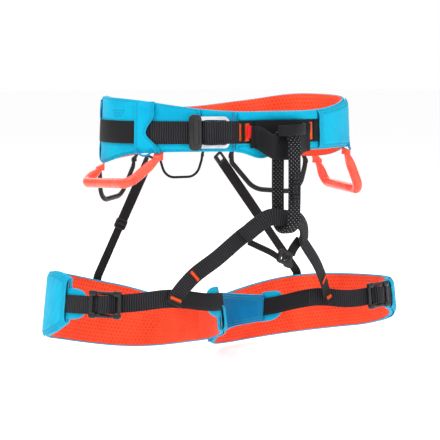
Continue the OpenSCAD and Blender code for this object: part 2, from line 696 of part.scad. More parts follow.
// Sleeve over the webbing with a round-ended tab that runs on under it, q from edge to tab
module leg_sleeve(s, q_far, q_edge, q_tab) {
    color("deepskyblue") {
        leg_layer(s, min(q_edge, q_far), max(q_edge, q_far), function(q) leg_bottom_of(s, q),
            function(q) leg_top_of(s, q), over_web, over_web + sleeve_t, 18);
        tab_h = function(q) 17 * sqrt(max(0.12, 1 - pow((q_edge - q) / (q_edge - q_tab), 4)));
        q_root = q_edge + sign(q_tab - q_edge) * 0.4;
        leg_layer(s, min(q_root, q_tab), max(q_root, q_tab), function(q) leg_webbing_z(s, q) - tab_h(q),
            function(q) leg_webbing_z(s, q) + tab_h(q), -pad_t * 0.5, -0.2, 8);
    }
}

module leg_outer_sleeve(s) {
    leg_sleeve(s, 105, leg_outer_edge[s], leg_outer_tab[s]);
}

module leg_inner_sleeve(s) {
    leg_sleeve(s, -105, leg_inner_edge[s], leg_inner_tab[s]);
}

// Ribbed webbing from inside the outer sleeve through the buckle to the join
module leg_webbing(s) {
    color("#242426") {
        leg_band(s, leg_join[s] - 3, leg_outer_edge[s] + 8, leg_webbing_w, gap, webbing_t, 20);
        on_leg(s, leg_buckle_at[s], 0, leg_webbing_z(s, leg_buckle_at[s])) hump(leg_webbing_w, 9, 2.5);
    }
}

module leg_webbing_inner(s) {
    color("#1b1b1d") leg_band(s, leg_inner_edge[s] - 8, leg_join[s] - 3.6, leg_webbing_w, gap, webbing_t, 12);
}

// Strap from the join up to the end of the lower tie-in loop
function bridge_path(s) =
    let (band_end = s == RIGHT ? lower_band[0] : lower_band[len(lower_band) - 1],
         next = s == RIGHT ? lower_band[2] : lower_band[len(lower_band) - 3],
         out = unit(band_end - next),
         j = leg_join[s], z = leg_webbing_z(s, j), lift = over_web + webbing_t / 2 + 1.6)
    smooth_path(concat(
        [leg_at(s, j + 4, lift, z - 10), leg_at(s, j, lift + 0.3, z + 1)],
        s == RIGHT ? [mix(leg_at(s, j, lift, z), band_end, 0.2) + [4, -2, 3], mix(leg_at(s, j, lift, z), band_end, 0.6)]
                   : [mix(leg_at(s, j, lift, z), band_end, 0.25) + [-3, -4, 2], mix(leg_at(s, j, lift, z), band_end, 0.6) + [-3, -2, 0]],
        [band_end + out * swing_gap]), 5);

function bridge_faces(s) =
    let (p = bridge_path(s), low = leg_normal(s, leg_join[s]), high = s == RIGHT ? lower_faces[0] : lower_faces[len(lower_faces) - 1])
    [for (i = [0:len(p) - 1]) mix([low.x, low.y, 0], high, i / (len(p) - 1))];

module leg_bridge_strap(s) {
    color("#242426") strap(bridge_path(s), bridge_faces(s), leg_webbing_w, webbing_t);
}

// Two bar tacks where the bridge strap is sewn
module leg_bar_tacks(s) {
    path = bridge_path(s);
    faces = bridge_faces(s);
    tan = tangents(path);
    color("orangered") for (i = [3, 10]) {
        side = unit(cross(faces[i], tan[i]));
        out = unit(cross(tan[i], side));
        pose(path[i] + out * (webbing_t / 2 + 0.9), side, tan[i]) cube([leg_webbing_w * 0.6, 0.8, 3], center = true);
    }
}

module leg_buckle_frame(s) {
    color("#161618") on_leg(s, leg_buckle_at[s], 0, leg_webbing_z(s, leg_buckle_at[s]))
        buckle_frame(leg_buckle_l, leg_webbing_w, 4.5);
}

module leg_buckle_slider(s) {
    color("#161618") on_leg(s, leg_buckle_at[s], 0, leg_webbing_z(s, leg_buckle_at[s]))
        buckle_slider(leg_webbing_w, 4);
}

module leg_lining_right() { leg_lining(RIGHT); }
module leg_foam_core_right() { leg_foam_core(RIGHT); }
module leg_outer_shell_right() { leg_outer_shell(RIGHT); }
module leg_outer_sleeve_right() { leg_outer_sleeve(RIGHT); }
module leg_inner_sleeve_right() { leg_inner_sleeve(RIGHT); }
module leg_webbing_right() { leg_webbing(RIGHT); }
module leg_webbing_inner_right() { leg_webbing_inner(RIGHT); }
module leg_bridge_strap_right() { leg_bridge_strap(RIGHT); }
module leg_bar_tacks_right() { leg_bar_tacks(RIGHT); }
module leg_buckle_frame_right() { leg_buckle_frame(RIGHT); }
module leg_buckle_slider_right() { leg_buckle_slider(RIGHT); }
module leg_lining_left() { leg_lining(LEFT); }
module leg_foam_core_left() { leg_foam_core(LEFT); }
module leg_outer_shell_left() { leg_outer_shell(LEFT); }
module leg_outer_sleeve_left() { leg_outer_sleeve(LEFT); }
module leg_inner_sleeve_left() { leg_inner_sleeve(LEFT); }
module leg_webbing_left() { leg_webbing(LEFT); }
module leg_webbing_inner_left() { leg_webbing_inner(LEFT); }
module leg_bridge_strap_left() { leg_bridge_strap(LEFT); }
module leg_bar_tacks_left() { leg_bar_tacks(LEFT); }
module leg_buckle_frame_left() { leg_buckle_frame(LEFT); }
module leg_buckle_slider_left() { leg_buckle_slider(LEFT); }

waist_lining();
waist_foam_core();
waist_outer_shell();
waist_slider_pad();
waist_webbing_main();
waist_webbing_tail();
waist_webbing_front();
waist_rear_sleeve();
waist_left_sleeve();
waist_right_sleeve();
waist_front_roll();
waist_lower_flap();
waist_bar_tacks();
waist_label_tab();
waist_keepers();
waist_buckle_frame();
waist_buckle_plate();
waist_buckle_slider();
tie_in_patch();
upper_tie_in_loop();
belay_loop();
belay_loop_stitching();
lower_tie_in_loop();
lower_tie_in_strap();
lower_tie_in_hook();
gear_loop_tabs();
gear_loop_front_right();
gear_loop_front_left();
gear_loop_rear_right();
gear_loop_rear_left();
haul_loop();
riser_hooks();
riser_adjusters();
riser_strap_right();
riser_strap_left();
riser_elastic_right();
riser_elastic_left();
leg_lining_right();
leg_foam_core_right();
leg_outer_shell_right();
leg_outer_sleeve_right();
leg_inner_sleeve_right();
leg_webbing_right();
leg_webbing_inner_right();
leg_bridge_strap_right();
leg_bar_tacks_right();
leg_buckle_frame_right();
leg_buckle_slider_right();
leg_lining_left();
leg_foam_core_left();
leg_outer_shell_left();
leg_outer_sleeve_left();
leg_inner_sleeve_left();
leg_webbing_left();
leg_webbing_inner_left();
leg_bridge_strap_left();
leg_bar_tacks_left();
leg_buckle_frame_left();
leg_buckle_slider_left();
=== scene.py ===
"""Looks of a climbing harness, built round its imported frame.

Sizes are in millimetres in the surfaces and the sub-assemblies. Meshes are written in metres,
in the row's frame: +Z up, -Y to the wearer's front, +X to the wearer's left.
"""

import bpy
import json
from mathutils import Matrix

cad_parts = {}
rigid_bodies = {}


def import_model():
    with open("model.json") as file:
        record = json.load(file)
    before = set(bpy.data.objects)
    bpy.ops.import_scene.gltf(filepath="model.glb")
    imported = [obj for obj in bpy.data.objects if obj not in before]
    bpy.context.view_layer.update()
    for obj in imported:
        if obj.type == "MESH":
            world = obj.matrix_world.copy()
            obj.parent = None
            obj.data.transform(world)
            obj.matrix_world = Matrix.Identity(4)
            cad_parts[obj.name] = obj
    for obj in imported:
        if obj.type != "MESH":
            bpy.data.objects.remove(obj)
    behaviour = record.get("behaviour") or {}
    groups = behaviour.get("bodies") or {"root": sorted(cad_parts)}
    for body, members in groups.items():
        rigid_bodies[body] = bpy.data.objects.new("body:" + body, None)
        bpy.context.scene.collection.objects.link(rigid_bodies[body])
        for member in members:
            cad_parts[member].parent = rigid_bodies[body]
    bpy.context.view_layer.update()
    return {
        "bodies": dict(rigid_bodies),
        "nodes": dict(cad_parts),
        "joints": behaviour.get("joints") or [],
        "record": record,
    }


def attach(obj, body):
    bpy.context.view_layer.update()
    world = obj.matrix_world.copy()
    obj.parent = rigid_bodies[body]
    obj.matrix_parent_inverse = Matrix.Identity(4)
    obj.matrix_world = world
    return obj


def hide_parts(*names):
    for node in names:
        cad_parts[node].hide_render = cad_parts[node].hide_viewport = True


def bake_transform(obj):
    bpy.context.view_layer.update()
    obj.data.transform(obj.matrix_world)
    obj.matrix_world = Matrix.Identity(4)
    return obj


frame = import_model()

import json
import logging
import math
from dataclasses import dataclass
from enum import Enum
from typing import Callable, Optional, Sequence

import bpy
import numpy as np
from mathutils import Matrix, Vector

LOG = logging.getLogger("harness")
MM = 0.001
THREAD_RADIUS = 0.46
PAD_MIDDLE = -3.75  # middle of a pad, from the surface's outside
PAD_HALF = 2.9  # half of a pad's thickness
CLOTH = 0.9  # thickness of the shells and sleeves
WEB_MIDDLE = 1.4  # middle of the webbing, from the surface's outside
BEND_STEPS = 12  # steps round a rounded corner
MM_PER_DEGREE = 1.85  # arc of the belt's front
Keys = Sequence[tuple[float, float]]
Height = Callable[[float], float]


class Side(Enum):
    """The wearer's right or left; the value is the sign of its X."""

    RIGHT = -1
    LEFT = 1

    @property
    def word(self) -> str:
        """Name of the side, as the nodes use it."""
        return self.name.lower()

    @property
    def row(self) -> int:
        """Place of the side in a right-left pair of sizes."""
        return 0 if self is Side.RIGHT else 1


# ---- curves and paths -------------------------------------------------------------------


def unit(v: np.ndarray) -> np.ndarray:
    """Vector of length one along v."""
    return v / np.linalg.norm(v)


def mix(a, b, f: float):
    """Value a fraction f of the way from a to b."""
    return a + (b - a) * f


def ease(x: float, lo: float, hi: float) -> float:
    """Smooth step from 0 at lo to 1 at hi."""
    f = min(1.0, max(0.0, (x - lo) / (hi - lo)))
    return f * f * (3 - 2 * f)


def curve(x: float, keys: Keys, flat: bool = False) -> float:
    """Smooth curve through a few keys.

    Args:
        x: Where to read it.
        keys: (position, value) pairs, in order.
        flat: Level at both ends if true, straight on if not.

    Returns:
        The curve's value at x.
    """
    last = len(keys) - 1

    def slope(i: int) -> float:
        lo, hi = max(i - 1, 0), min(i + 1, last)
        if flat and i in (0, last):
            return 0.0
        return (keys[hi][1] - keys[lo][1]) / (keys[hi][0] - keys[lo][0])

    if x <= keys[0][0]:
        return keys[0][1] + (x - keys[0][0]) * slope(0)
    if x >= keys[last][0]:
        return keys[last][1] + (x - keys[last][0]) * slope(last)
    i = max(j for j in range(last) if keys[j][0] <= x)
    d = keys[i + 1][0] - keys[i][0]
    f = (x - keys[i][0]) / d
    return (keys[i][1] * (2 * f**3 - 3 * f**2 + 1) + slope(i) * d * (f**3 - 2 * f**2 + f)
            + keys[i + 1][1] * (3 * f**2 - 2 * f**3) + slope(i + 1) * d * (f**3 - f**2))


def smooth_path(points: Sequence[Sequence[float]], steps: int = 8) -> np.ndarray:
    """Smooth path through points.

    Args:
        points: The points, in millimetres.
        steps: Steps to each span.

    Returns:
        The path's points.
    """
    p = [np.array(q, float) for q in points]
    out = []
    for i in range(len(p) - 1):
        m0 = p[1] - p[0] if i == 0 else (p[i + 1] - p[i - 1]) / 2
        m1 = p[i + 1] - p[i] if i == len(p) - 2 else (p[i + 2] - p[i]) / 2
        for j in range(steps):
            f = j / steps
            out.append(p[i] * (2 * f**3 - 3 * f**2 + 1) + m0 * (f**3 - 2 * f**2 + f)
                       + p[i + 1] * (3 * f**2 - 2 * f**3) + m1 * (f**3 - f**2))
    out.append(p[-1])
    return np.array(out)


def rounded_path(points: Sequence[Sequence[float]], radii: Sequence[float]) -> np.ndarray:
    """Flat path with rounded corners.

    Args:
        points: Corners, as pairs of millimetres.
        radii: Radius at each corner; a corner of radius 0 is kept.

    Returns:
        The path's points, as pairs.
    """
    p = [np.array(q, float) for q in points]
    out = []
    for i, r in enumerate(radii):
        if r == 0:
            out.append(p[i])
            continue
        u, v = unit(p[i - 1] - p[i]), unit(p[i + 1] - p[i])
        half = math.acos(float(u @ v)) / 2
        centre = p[i] + unit(u + v) * r / math.sin(half)
        start, end = p[i] + u * r / math.tan(half) - centre, p[i] + v * r / math.tan(half) - centre
        turn = math.pi - 2 * half
        for j in range(BEND_STEPS + 1):
            f = j / BEND_STEPS
            both = start * math.sin(turn * (1 - f)) + end * math.sin(turn * f)
            out.append(centre + both / math.sin(turn))
    return np.array(out)


def even_path(points: np.ndarray, step: float) -> np.ndarray:
    """The same path with points about step apart."""
    gaps = np.linalg.norm(np.diff(points, axis=0), axis=1)
    at = np.concatenate([[0], np.cumsum(gaps)])
    marks = np.linspace(0, at[-1], max(2, round(at[-1] / step) + 1))
    return np.stack([np.interp(marks, at, points[:, k]) for k in range(points.shape[1])], axis=1)


def tangents(path: np.ndarray, closed: bool = False) -> np.ndarray:
    """Directions of a path at each of its points."""
    if closed:
        d = np.roll(path, -1, axis=0) - np.roll(path, 1, axis=0)
    else:
        d = np.gradient(path, axis=0)
    return d / np.linalg.norm(d, axis=1)[:, None]


# ---- the surfaces that the cloth lies on ------------------------------------------------------


class Surface:
    """An upright, slightly leaning surface round an opening, with a top and a bottom edge."""

    lean: float
    mid_z: float

    def plan(self, q: float, o: float) -> np.ndarray:
        """Point in plan at an angle and a distance outwards."""
        raise NotImplementedError

    def top(self, q: float) -> float:
        """Height of the top edge."""
        raise NotImplementedError

    def bottom(self, q: float) -> float:
        """Height of the bottom edge."""
        raise NotImplementedError

    def out(self, q: float) -> np.ndarray:
        """Outward direction, level."""
        raise NotImplementedError

    def at(self, q: float, o: float, z: float) -> np.ndarray:
        """Point at an angle, a distance outwards and a height."""
        x, y = self.plan(q, o - self.lean * (z - self.mid_z))
        return np.array([x, y, z])

    def run(self, q0: float, q1: float) -> float:
        """Length along the surface between two angles, in millimetres."""
        pts = np.array([self.plan(q, 0) for q in np.linspace(q0, q1, 25)])
        return float(np.linalg.norm(np.diff(pts, axis=0), axis=1).sum())

    def seat(self, q: float, z: float) -> Matrix:
        """Placement whose X runs round the surface, -Y outwards and Z up it."""
        n = self.out(q)
        turn = math.atan2(n[0], -n[1])
        lean = Matrix.Rotation(-math.atan(self.lean), 4, "X")
        return Matrix.Translation(Vector(self.at(q, 0, z)) * MM) @ Matrix.Rotation(turn, 4, "Z") @ lean


@dataclass(frozen=True)
class BeltSurface(Surface):
    """Outside of the waist belt; angles run from the front to the wearer's left."""

    width: float = 302
    depth: float = 208
    tops: tuple = (22, 37, 22)
    drops: tuple = (21, 37, 28)
    lean: float = 0.04
    mid_z: float = 0

    def plan(self, q: float, o: float) -> np.ndarray:
        """Point in plan at an angle and a distance outwards."""
        a = math.radians(q)
        return np.array([self.width / 2 * math.sin(a), -self.depth / 2 * math.cos(a)]) + self.out(q)[:2] * o

    def out(self, q: float) -> np.ndarray:
        """Outward direction, level."""
        a = math.radians(q)
        return unit(np.array([self.depth * math.sin(a), -self.width * math.cos(a), 0]))

    def top(self, q: float) -> float:
        """Height of the top edge."""
        front, hip, back = self.tops
        return curve(abs((q + 180) % 360 - 180), (
            (0, front), (26, front + 1), (66, mix(front, hip, 0.8)), (95, hip), (122, hip),
            (150, mix(back, hip, 0.45)), (180, back)), True)

    def bottom(self, q: float) -> float:
        """Height of the bottom edge."""
        front, hip, back = self.drops
        return -curve(abs((q + 180) % 360 - 180), (
            (0, front + 1), (24, front), (50, front), (72, mix(front, hip, 0.2)), (95, mix(front, hip, 0.8)),
            (115, hip), (140, mix(back, hip, 0.7)), (180, back)), True)


@dataclass(frozen=True)
class LegSurface(Surface):
    """Outside of a leg loop; angles run from the front to the outer side."""

    side: Side
    widths: tuple = (192, 209)
    depths: tuple = (214, 220)
    middles: tuple = (113, 117)
    back: float = 14
    turn: float = 18.5
    lean: float = 0.1
    mid_z: float = -205
    top_keys: tuple = (
        ((57, -162), (80, -156), (127, -166), (180, -185), (235, -204), (296, -192)),
        ((57, -178), (120, -184), (166, -189), (232, -206), (276, -195), (319, -190)))
    bottom_keys: tuple = (
        ((57, -203), (81, -224), (127, -242), (190, -260), (240, -248), (296, -222)),
        ((57, -211), (89, -231), (127, -249), (208, -268), (256, -259), (290, -232), (319, -218)))
    webbing_keys: tuple = (
        ((-64, -190), (-42, -186), (-10.5, -178), (12, -181), (35, -185), (57, -187)),
        ((-64, -208), (-41.5, -203), (-10.5, -190), (12, -193), (35, -192), (57, -196)))

    def angle(self, q: float) -> float:
        """Turn from the front about the loop's own axis, in radians."""
        return math.radians(self.side.value * q - self.turn)

    def out(self, q: float) -> np.ndarray:
        """Outward direction, level."""
        w, d, a = self.widths[self.side.row], self.depths[self.side.row], self.angle(q)
        return unit(np.array([d * math.sin(a), -w * math.cos(a), 0]))

    def plan(self, q: float, o: float) -> np.ndarray:
        """Point in plan at an angle and a distance outwards."""
        w, d, a = self.widths[self.side.row], self.depths[self.side.row], self.angle(q)
        centre = np.array([self.side.value * self.middles[self.side.row], self.back])
        return centre + np.array([w / 2 * math.sin(a), -d / 2 * math.cos(a)]) + self.out(q)[:2] * o

    def top(self, q: float) -> float:
        """Height of the top edge."""
        return curve(q + 360 if q < 0 else q, self.top_keys[self.side.row])

    def bottom(self, q: float) -> float:
        """Height of the bottom edge."""
        return curve(q + 360 if q < 0 else q, self.bottom_keys[self.side.row])

    def webbing(self, q: float) -> float:
        """Height of the webbing's middle."""
        return curve(q, self.webbing_keys[self.side.row])


# ---- meshes ------------------------------------------------------------------------------


def deselect() -> None:
    """Leaves object mode with nothing selected."""
    if bpy.context.mode != "OBJECT":
        bpy.ops.object.mode_set(mode="OBJECT")
    bpy.ops.object.select_all(action="DESELECT")


def choose(obj: bpy.types.Object) -> None:
    """Makes one object the only one selected, and the active one."""
    deselect()
    obj.select_set(True)
    bpy.context.view_layer.objects.active = obj


def finish_modifiers(obj: bpy.types.Object) -> None:
    """Applies an object's modifiers in order."""
    choose(obj)
    for modifier in list(obj.modifiers):
        bpy.ops.object.modifier_apply(modifier=modifier.name)


def tidy_normals(obj: bpy.types.Object, angle: float = 40) -> None:
    """Turns a closed mesh's faces outwards and smooths it below an angle."""
    choose(obj)
    bpy.ops.object.mode_set(mode="EDIT")
    bpy.ops.mesh.select_all(action="SELECT")
    bpy.ops.mesh.normals_make_consistent(inside=False)
    bpy.ops.object.mode_set(mode="OBJECT")
    bpy.ops.object.shade_smooth_by_angle(angle=math.radians(angle))


def settle(obj: bpy.types.Object, place: Optional[Matrix] = None) -> None:
    """Puts an object's place into its mesh, so that it sits at the origin, unturned and unscaled."""
    choose(obj)
    if place is not None:
        obj.matrix_world = place @ obj.matrix_world
    bpy.ops.object.transform_apply(location=True, rotation=True, scale=True)


def join(name: str, parts: Sequence[bpy.types.Object]) -> bpy.types.Object:
    """Joins finished parts into one named piece."""
    choose(parts[0])
    for part in parts:
        part.select_set(True)
    bpy.ops.object.join()
    whole = bpy.context.view_layer.objects.active
    whole.name = name
    whole.data.name = name
    return whole


@dataclass
class Loft:
    """Skin through rings of points, with its length and girth as UVs in metres.

    The layer Rim holds the length and the distance to the nearest edge, for stitching.
    """

    name: str
    rings: np.ndarray
    around: bool = True
    along: bool = False
    thickness: float = 0
    rim: Optional[np.ndarray] = None
    uv: Optional[np.ndarray] = None
    angle: float = 40

    def lengths(self, axis: int, closed: bool) -> np.ndarray:
        """Running length along one axis of the rings, in millimetres."""
        pts = self.rings if axis == 0 else self.rings.transpose(1, 0, 2)
        if closed:
            pts = np.concatenate([pts, pts[:1]])
        steps = np.linalg.norm(np.diff(pts, axis=0), axis=2).mean(axis=1)
        return np.concatenate([[0], np.cumsum(steps)])

    def build(self) -> bpy.types.Object:
        """Makes the mesh.

        Returns:
            The new object, at the origin.
        """
        m, n = self.rings.shape[:2]
        u, v = self.lengths(0, self.along), self.lengths(1, self.around)
        faces, corners = [], []
        for i in range(m if self.along else m - 1):
            for j in range(n if self.around else n - 1):
                quad = ((i, j), (i + 1, j), (i + 1, j + 1), (i, j + 1))
                faces.append([(a % m) * n + b % n for a, b in quad])
                corners.extend(quad)
        if self.around and not self.along:
            faces.append([j for j in range(n)])
            corners.extend((0, j) for j in range(n))
            faces.append([(m - 1) * n + j for j in reversed(range(n))])
            corners.extend((m - 1, j) for j in reversed(range(n)))
        mesh = bpy.data.meshes.new(self.name)
        mesh.from_pydata((self.rings.reshape(-1, 3) * MM).tolist(), [], faces)
        flat = []
        rims = []
        for a, b in corners:
            if self.uv is None:
                flat.extend((u[a] * MM, v[b] * MM))
            else:
                flat.extend(self.uv[a % m, b % n] * MM)
            edge = 1000.0 if self.rim is None else float(self.rim[a % m, b % n])
            rims.extend((flat[-2], edge * MM))
        mesh.uv_layers.new(name="UVMap").data.foreach_set("uv", flat)
        mesh.uv_layers.new(name="Rim").data.foreach_set("uv", rims)
        obj = bpy.data.objects.new(self.name, mesh)
        bpy.context.collection.objects.link(obj)
        if self.thickness:
            shell = obj.modifiers.new("Wall", "SOLIDIFY")
            shell.thickness = self.thickness * MM
            shell.offset = 0
            finish_modifiers(obj)
        tidy_normals(obj, self.angle)
        return obj


def strip_section(width: float, thickness: float, crown: float = 0.0, edge: int = 3,
                  face: int = 4) -> np.ndarray:
    """Section of a flat strap with rounded edges.

    Args:
        width: Width over all.
        thickness: Thickness at its edges.
        crown: Extra height in the middle of each face.
        edge: Steps round each edge.
        face: Steps across each face.

    Returns:
        Pairs of sideways and outward distances, in order round the section.
    """
    r = thickness / 2
    half = width / 2 - r
    pts = []
    for sign, turn in ((1, -90), (-1, 90)):
        for k in range(edge + 1):
            a = math.radians(turn + 180 * k / edge)
            pts.append((sign * half + r * math.cos(a), r * math.sin(a)))
        for k in range(1, face):
            x = sign * half * (1 - 2 * k / face)
            pts.append((x, sign * (r + crown * (1 - (x / half) ** 2))))
    return np.array(pts)


def round_section(r: float, sides: int = 14, flat: float = 1.0) -> np.ndarray:
    """Section of a round cord or tube; flat squeezes it."""
    return np.array([(r * math.cos(2 * math.pi * k / sides), r * flat * math.sin(2 * math.pi * k / sides))
                     for k in range(sides)])


def sweep(name: str, path: np.ndarray, faces: np.ndarray, section, closed: bool = False,
          angle: float = 40) -> bpy.types.Object:
    """Strap, cord or tube along a path.

    Args:
        name: The piece's name.
        path: Points of its middle line.
        faces: The way its face looks at each point.
        section: One section of pairs, or a function of the fraction along that gives one.
        closed: True for a ring.
        angle: Edges below this many degrees are smooth.

    Returns:
        The new object.
    """
    tan = tangents(path, closed)
    rings = []
    for i, p in enumerate(path):
        side = unit(np.cross(faces[i], tan[i]))
        out = unit(np.cross(tan[i], side))
        pts = section(i / (len(path) - 1)) if callable(section) else section
        rings.append([p + side * a + out * b for a, b in pts])
    return Loft(name, np.array(rings), along=closed, angle=angle).build()


def level_faces(path: np.ndarray) -> np.ndarray:
    """Faces of a strap that stands upright along a path, looking to the right of its way."""
    tan = tangents(path)
    return np.stack([tan[:, 1], -tan[:, 0], np.zeros(len(tan))], axis=1)


def band_on(name: str, surface: Surface, q0: float, q1: float, middle: Height, section: np.ndarray,
            steps: int) -> bpy.types.Object:
    """Webbing that lies on a surface between two angles.

    Args:
        name: The piece's name.
        surface: What it lies on.
        q0: First angle.
        q1: Last angle.
        middle: Height of its middle line at an angle.
        section: Its section.
        steps: Rings along it.

    Returns:
        The new object.
    """
    rings = []
    for q in np.linspace(q0, q1, steps + 1):
        rings.append([surface.at(q, WEB_MIDDLE + o, middle(q) + s) for s, o in section])
    return Loft(name, np.array(rings)).build()


def sheet_on(name: str, surface: Surface, angles: np.ndarray, section: Callable,
             thickness: float = CLOTH) -> bpy.types.Object:
    """Cloth on a surface, from one cross-section at each angle.

    Args:
        name: The piece's name.
        surface: What it lies on.
        angles: Where its sections stand.
        section: Gives the (distance outwards, height) pairs at an angle.
        thickness: Thickness of the cloth.

    Returns:
        The new object.
    """
    sections = [section(q) for q in angles]
    rings = np.array([[surface.at(q, o, z) for o, z in pts] for q, pts in zip(angles, sections)])
    run = np.array([surface.run(angles[0], q) for q in angles])
    across = np.array([np.concatenate([[0], np.cumsum(np.linalg.norm(np.diff(np.array(s), axis=0), axis=1))])
                       for s in sections])
    edge = np.minimum(across, across[:, -1:] - across)
    edge = np.minimum(edge, np.minimum(run, run[-1] - run)[:, None])
    heights = np.array([[z for _, z in pts] for pts in sections])
    uv = np.stack([np.repeat(run[:, None], heights.shape[1], axis=1), heights], axis=2)
    return Loft(name, rings, around=False, thickness=thickness, rim=edge, uv=uv).build()


# ---- shared surface effects -------------------------------------------------------------------


def linear(rgb: Sequence[float]) -> tuple[float, float, float, float]:
    """Linear colour of a display colour given in 0 to 255."""
    c = [v / 255 for v in rgb]
    return tuple(v / 12.92 if v <= 0.04045 else ((v + 0.055) / 1.055) ** 2.4 for v in c) + (1.0,)


class Graph:
    """Short way to write a tree of shader nodes."""

    def __init__(self, tree: bpy.types.NodeTree) -> None:
        """Keeps the tree.

        Args:
            tree: The tree to write.
        """
        self.tree = tree

    def put(self, value, socket: bpy.types.NodeSocket) -> None:
        """Feeds a socket from another socket or with a constant."""
        if isinstance(value, bpy.types.NodeSocket):
            self.tree.links.new(value, socket)
        elif value is not None:
            socket.default_value = value

    def node(self, kind: str, inputs: Optional[dict] = None, **settings) -> bpy.types.Node:
        """Adds a node.

        Args:
            kind: The node's type, without its prefix.
            inputs: Values or sockets for its inputs, by name or number.
            **settings: Its own settings.

        Returns:
            The node.
        """
        node = self.tree.nodes.new("ShaderNode" + kind)
        for key, value in settings.items():
            setattr(node, key, value)
        for key, value in (inputs or {}).items():
            self.put(value, node.inputs[key])
        return node

    def math(self, operation: str, a, b=None, c=None) -> bpy.types.NodeSocket:
        """Result of one sum."""
        return self.node("Math", {0: a, 1: b, 2: c}, operation=operation).outputs[0]

    def step(self, value, lo: float, hi: float, start: float = 0.0, end: float = 1.0) -> bpy.types.NodeSocket:
        """Smooth step of a value from start at lo to end at hi."""
        return self.node("MapRange", {"Value": value, "From Min": lo, "From Max": hi, "To Min": start,
                                      "To Max": end},
                         interpolation_type="SMOOTHSTEP").outputs[0]

    def split(self, vector) -> bpy.types.NodeOutputs:
        """X, Y and Z of a vector."""
        return self.node("SeparateXYZ", {0: vector}).outputs

    def blend(self, fac, a, b) -> bpy.types.NodeSocket:
        """Colour a fraction fac of the way from a to b."""
        node = self.node("Mix", data_type="RGBA")
        for value, name in ((fac, "Factor_Float"), (a, "A_Color"), (b, "B_Color")):
            self.put(value, next(s for s in node.inputs if s.identifier == name))
        return next(s for s in node.outputs if s.identifier == "Result_Color")

    def noise(self, vector, scale: float, detail: float = 2.0) -> bpy.types.NodeSocket:
        """Cloudy noise from 0 to 1."""
        return self.node("TexNoise", {"Vector": vector, "Scale": scale, "Detail": detail}).outputs[0]

    def group(self, tree: bpy.types.NodeTree, inputs: dict) -> bpy.types.NodeOutputs:
        """Places a node group.

        Args:
            tree: The group's tree.
            inputs: Values or sockets for its inputs, by name.

        Returns:
            Its outputs.
        """
        node = self.tree.nodes.new("ShaderNodeGroup")
        node.node_tree = tree
        for key, value in inputs.items():
            self.put(value, node.inputs[key])
        return node.outputs


def effect(name: str, inputs: dict, outputs: Sequence[str], body: Callable) -> bpy.types.NodeTree:
    """Builds a named group of shader nodes once.

    Args:
        name: Name of the group.
        inputs: Inputs by name; the value is their start value, or None for a vector.
        outputs: Names of its outputs, all plain numbers.
        body: Takes a Graph and the inputs, and returns one socket for each output.

    Returns:
        The group's tree.
    """
    if name in bpy.data.node_groups:
        return bpy.data.node_groups[name]
    tree = bpy.data.node_groups.new(name, "ShaderNodeTree")
    for key, value in inputs.items():
        kind = "NodeSocketVector" if value is None else "NodeSocketFloat"
        socket = tree.interface.new_socket(key, in_out="INPUT", socket_type=kind)
        if value is not None:
            socket.default_value = value
    for key in outputs:
        tree.interface.new_socket(key, in_out="OUTPUT", socket_type="NodeSocketFloat")
    start, end = tree.nodes.new("NodeGroupInput"), tree.nodes.new("NodeGroupOutput")
    for socket, key in zip(body(Graph(tree), start.outputs), outputs):
        tree.links.new(socket, end.inputs[key])
    return tree


def weave_group() -> bpy.types.NodeTree:
    """Plain weave: threads that pass over and under each other."""
    def body(g: Graph, i) -> tuple:
        x, y, _ = g.split(i["Vector"])
        a = g.math("MULTIPLY", g.math("DIVIDE", x, i["Pitch"]), math.pi)
        b = g.math("MULTIPLY", g.math("DIVIDE", y, i["Pitch"]), math.pi)
        over = g.math("MULTIPLY", g.math("SINE", a), g.math("SINE", b))
        return (g.math("MULTIPLY_ADD", over, 0.5, 0.5),)
    return effect("Plain weave", {"Vector": None, "Pitch": 0.0008}, ["Height"], body)


def ribs_group() -> bpy.types.NodeTree:
    """Ribs across a webbing's width, in a shallow arrow, with its woven edges."""
    def body(g: Graph, i) -> tuple:
        x, y, _ = g.split(i["Vector"])
        slant = g.math("MULTIPLY", g.math("ABSOLUTE", g.math("SINE", g.math("MULTIPLY", y, 260.0))), 0.0006)
        along = g.math("DIVIDE", g.math("ADD", x, slant), i["Pitch"])
        rib = g.math("ABSOLUTE", g.math("SINE", g.math("MULTIPLY", along, math.pi)))
        thread = g.math("SINE", g.math("MULTIPLY", y, 2 * math.pi / 0.0011))
        return (g.math("MULTIPLY_ADD", thread, 0.12, rib), rib)
    return effect("Webbing ribs", {"Vector": None, "Pitch": 0.0022}, ["Height", "Crest"], body)


def dots_group() -> bpy.types.NodeTree:
    """Staggered rows of round dots."""
    def body(g: Graph, i) -> tuple:
        x, y, _ = g.split(i["Vector"])
        row = g.math("DIVIDE", y, i["Row"])
        shift = g.math("MULTIPLY", g.math("FLOORED_MODULO", g.math("FLOOR", row), 2.0), 0.5)
        col = g.math("ADD", g.math("DIVIDE", x, i["Pitch"]), shift)
        dx = g.math("MULTIPLY", g.math("SUBTRACT", g.math("FRACT", col), 0.5), i["Pitch"])
        dy = g.math("MULTIPLY", g.math("SUBTRACT", g.math("FRACT", row), 0.5), i["Row"])
        far = g.math("SQRT", g.math("ADD", g.math("MULTIPLY", dx, dx), g.math("MULTIPLY", dy, dy)))
        near = g.math("DIVIDE", far, i["Radius"])
        return (g.step(near, 1.25, 0.75),)
    return effect("Staggered dots", {"Vector": None, "Pitch": 0.004, "Row": 0.0035, "Radius": 0.0011},
                  ["Mask"], body)


